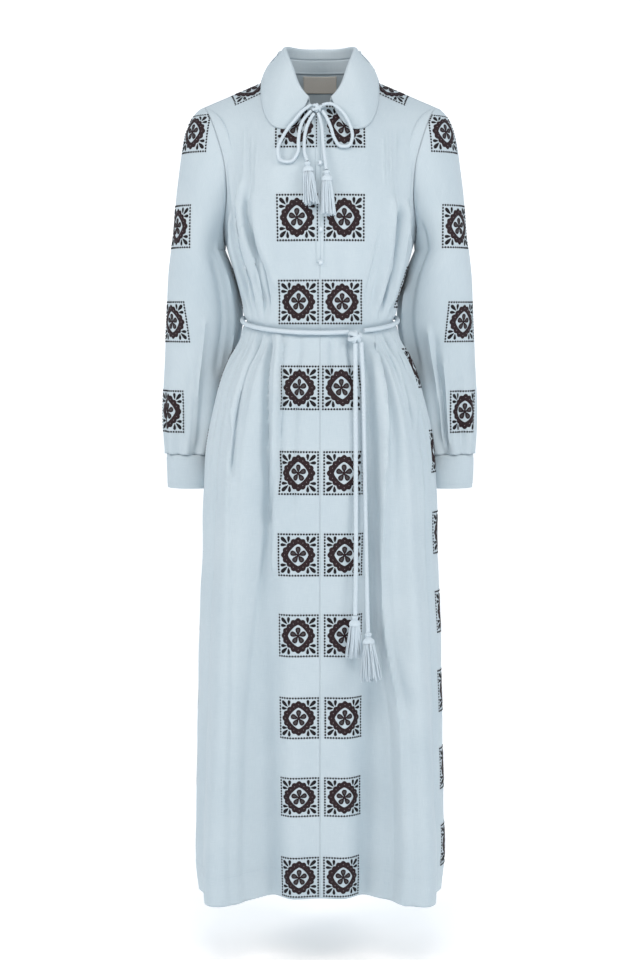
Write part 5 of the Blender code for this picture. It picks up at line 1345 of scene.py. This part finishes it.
squares = []
for sign, places in SLEEVE_SQUARES.items():
    sleeve_tree = surface_tree((sleeve_points[sign],))
    for place in places:
        squares.append(sew(walked_patch(sleeve_tree, place, sign, TILE_WIDTH, TILE_HEIGHT)))
SHOULDER_SHARE, SHOULDER_ROW, SHOULDER_SIZE = 0.372, 38.0, 0.0690
shares = np.linspace(0.0, 1.0, 50)
yoke_shares = np.linspace(0.70, 1.0, 40)
for sign in (1, -1):
    ahead = yoke_rows(sign * (FRONT_NECK_TURN + shares * (FRONT_TIP_TURN - FRONT_NECK_TURN)), yoke_shares)
    behind = yoke_rows(sign * (BACK_NECK_TURN + shares * (BACK_TIP_TURN - BACK_NECK_TURN)), yoke_shares)
    grid = np.concatenate((ahead, behind[-2::-1]))[:, ::sign]
    column = (SHOULDER_SHARE if sign > 0 else 1 - SHOULDER_SHARE) * (len(shares) - 1)
    squares.append(sew(cloth_patch(grid, SHOULDER_ROW, column, SHOULDER_SIZE, SHOULDER_SIZE)))
embroidery("sleeve_and_shoulder_embroidery", squares)

# ---- Stitching ----
# Seams and edges are topstitched by machine in thread of the cloth's colour. A stitch is 2.2 mm long and
# the next one starts 3 mm on. Each tuck, the hem, the facing, the collar and the cuffs have a line.
STITCH_LENGTH, STITCH_GAP = 0.0022, 0.0030
STITCH_SIDE, SIDE_RISE, TOP_RISE, STITCH_ROOT = 0.00026, 0.00016, 0.00042, 0.00010
CUFF_STITCH_ROWS, LEAF_STITCH_ROW, FACING_STITCH_COLUMNS = (2, 13), -3, (4, 36)


def stitch_line(path, normals):
    """Stitches along a path on the cloth: each is a lozenge with its two ends in the cloth and its
    middle raised, its sides a quarter of a millimetre from its line."""
    run = run_along(path)
    places = np.arange(STITCH_GAP / 2, run[-1] - STITCH_GAP / 2, STITCH_GAP)
    before, after = read_path(places - 0.0004, run, path), read_path(places + 0.0004, run, path)
    normal = unit(read_path(places, run, normals))
    middle, along = (before + after) / 2, unit(after - before)
    side = np.cross(along, normal)
    corners = [middle - along * STITCH_LENGTH / 2, middle + side * STITCH_SIDE + normal * SIDE_RISE,
               middle + along * STITCH_LENGTH / 2, middle - side * STITCH_SIDE + normal * SIDE_RISE,
               middle + normal * TOP_RISE, middle - normal * STITCH_ROOT]
    points = np.stack(corners, axis=1)
    one = np.array(((1, 0, 4), (2, 1, 4), (3, 2, 4), (0, 3, 4), (0, 1, 5), (1, 2, 5), (2, 3, 5), (3, 0, 5)))
    faces = (one[None] + 6 * np.arange(len(points))[:, None, None]).reshape(-1, 3)
    return points.reshape(-1, 3), faces, np.zeros((len(points) * 6, 2))


def on_grid(grid, row, column):
    """The grid's point at a place between its rows and columns."""
    r, c = min(int(row), len(grid) - 2), min(int(column), grid.shape[1] - 2)
    u, v = column - c, row - r
    return ((1 - v) * ((1 - u) * grid[r, c] + u * grid[r, c + 1])
            + v * ((1 - u) * grid[r + 1, c] + u * grid[r + 1, c + 1]))


thread, tree, shader = new_material("matching_cotton_thread", "#B4C5CF", 0.6)
place = node(tree, "ShaderNodeTexCoord")
twist = node(tree, "ShaderNodeTexNoise", {"Vector": place.outputs["Object"], "Scale": 2500.0})
grain_colours(tree, shader, twist.outputs["Fac"], "#9FB3BF", "#BACAD4")

lines = []
for grid in (body_right, body_left, body_back):
    row = int(np.argmin(np.abs(grid[:, 0, 2] - (HEM_HEIGHT + HEM_DEPTH - 0.002))))
    lines.append(stitch_line(grid[row], grid_normals(grid)[row]))
for grid in cuff_points.values():
    for row in CUFF_STITCH_ROWS:
        lines.append(stitch_line(grid[row], grid_normals(grid)[row]))
lines.append(stitch_line(leaf[LEAF_STITCH_ROW], grid_normals(leaf)[LEAF_STITCH_ROW]))
for column in FACING_STITCH_COLUMNS:
    lines.append(stitch_line(strip[:, column], grid_normals(strip)[:, column]))
front_normals = grid_normals(fronts)
for half, _, _, line in CREASES:
    if half == TUCK:
        line = np.array(line)
        heights = np.linspace(line[0, 1], line[-1, 1], 30)
        tuck_turns = np.interp(heights, line[::-1, 1], line[::-1, 0])
        spots = [grid_place(fronts, fronts_turns, turn, z) for turn, z in zip(tuck_turns, heights)]
        lines.append(stitch_line(np.array([on_grid(fronts, *spot) for spot in spots]),
                                 np.array([on_grid(front_normals, *spot) for spot in spots])))
points, faces, uv = joined(lines)
made = link_mesh("topstitching", points, faces, thread, uv)
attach(made, "root")
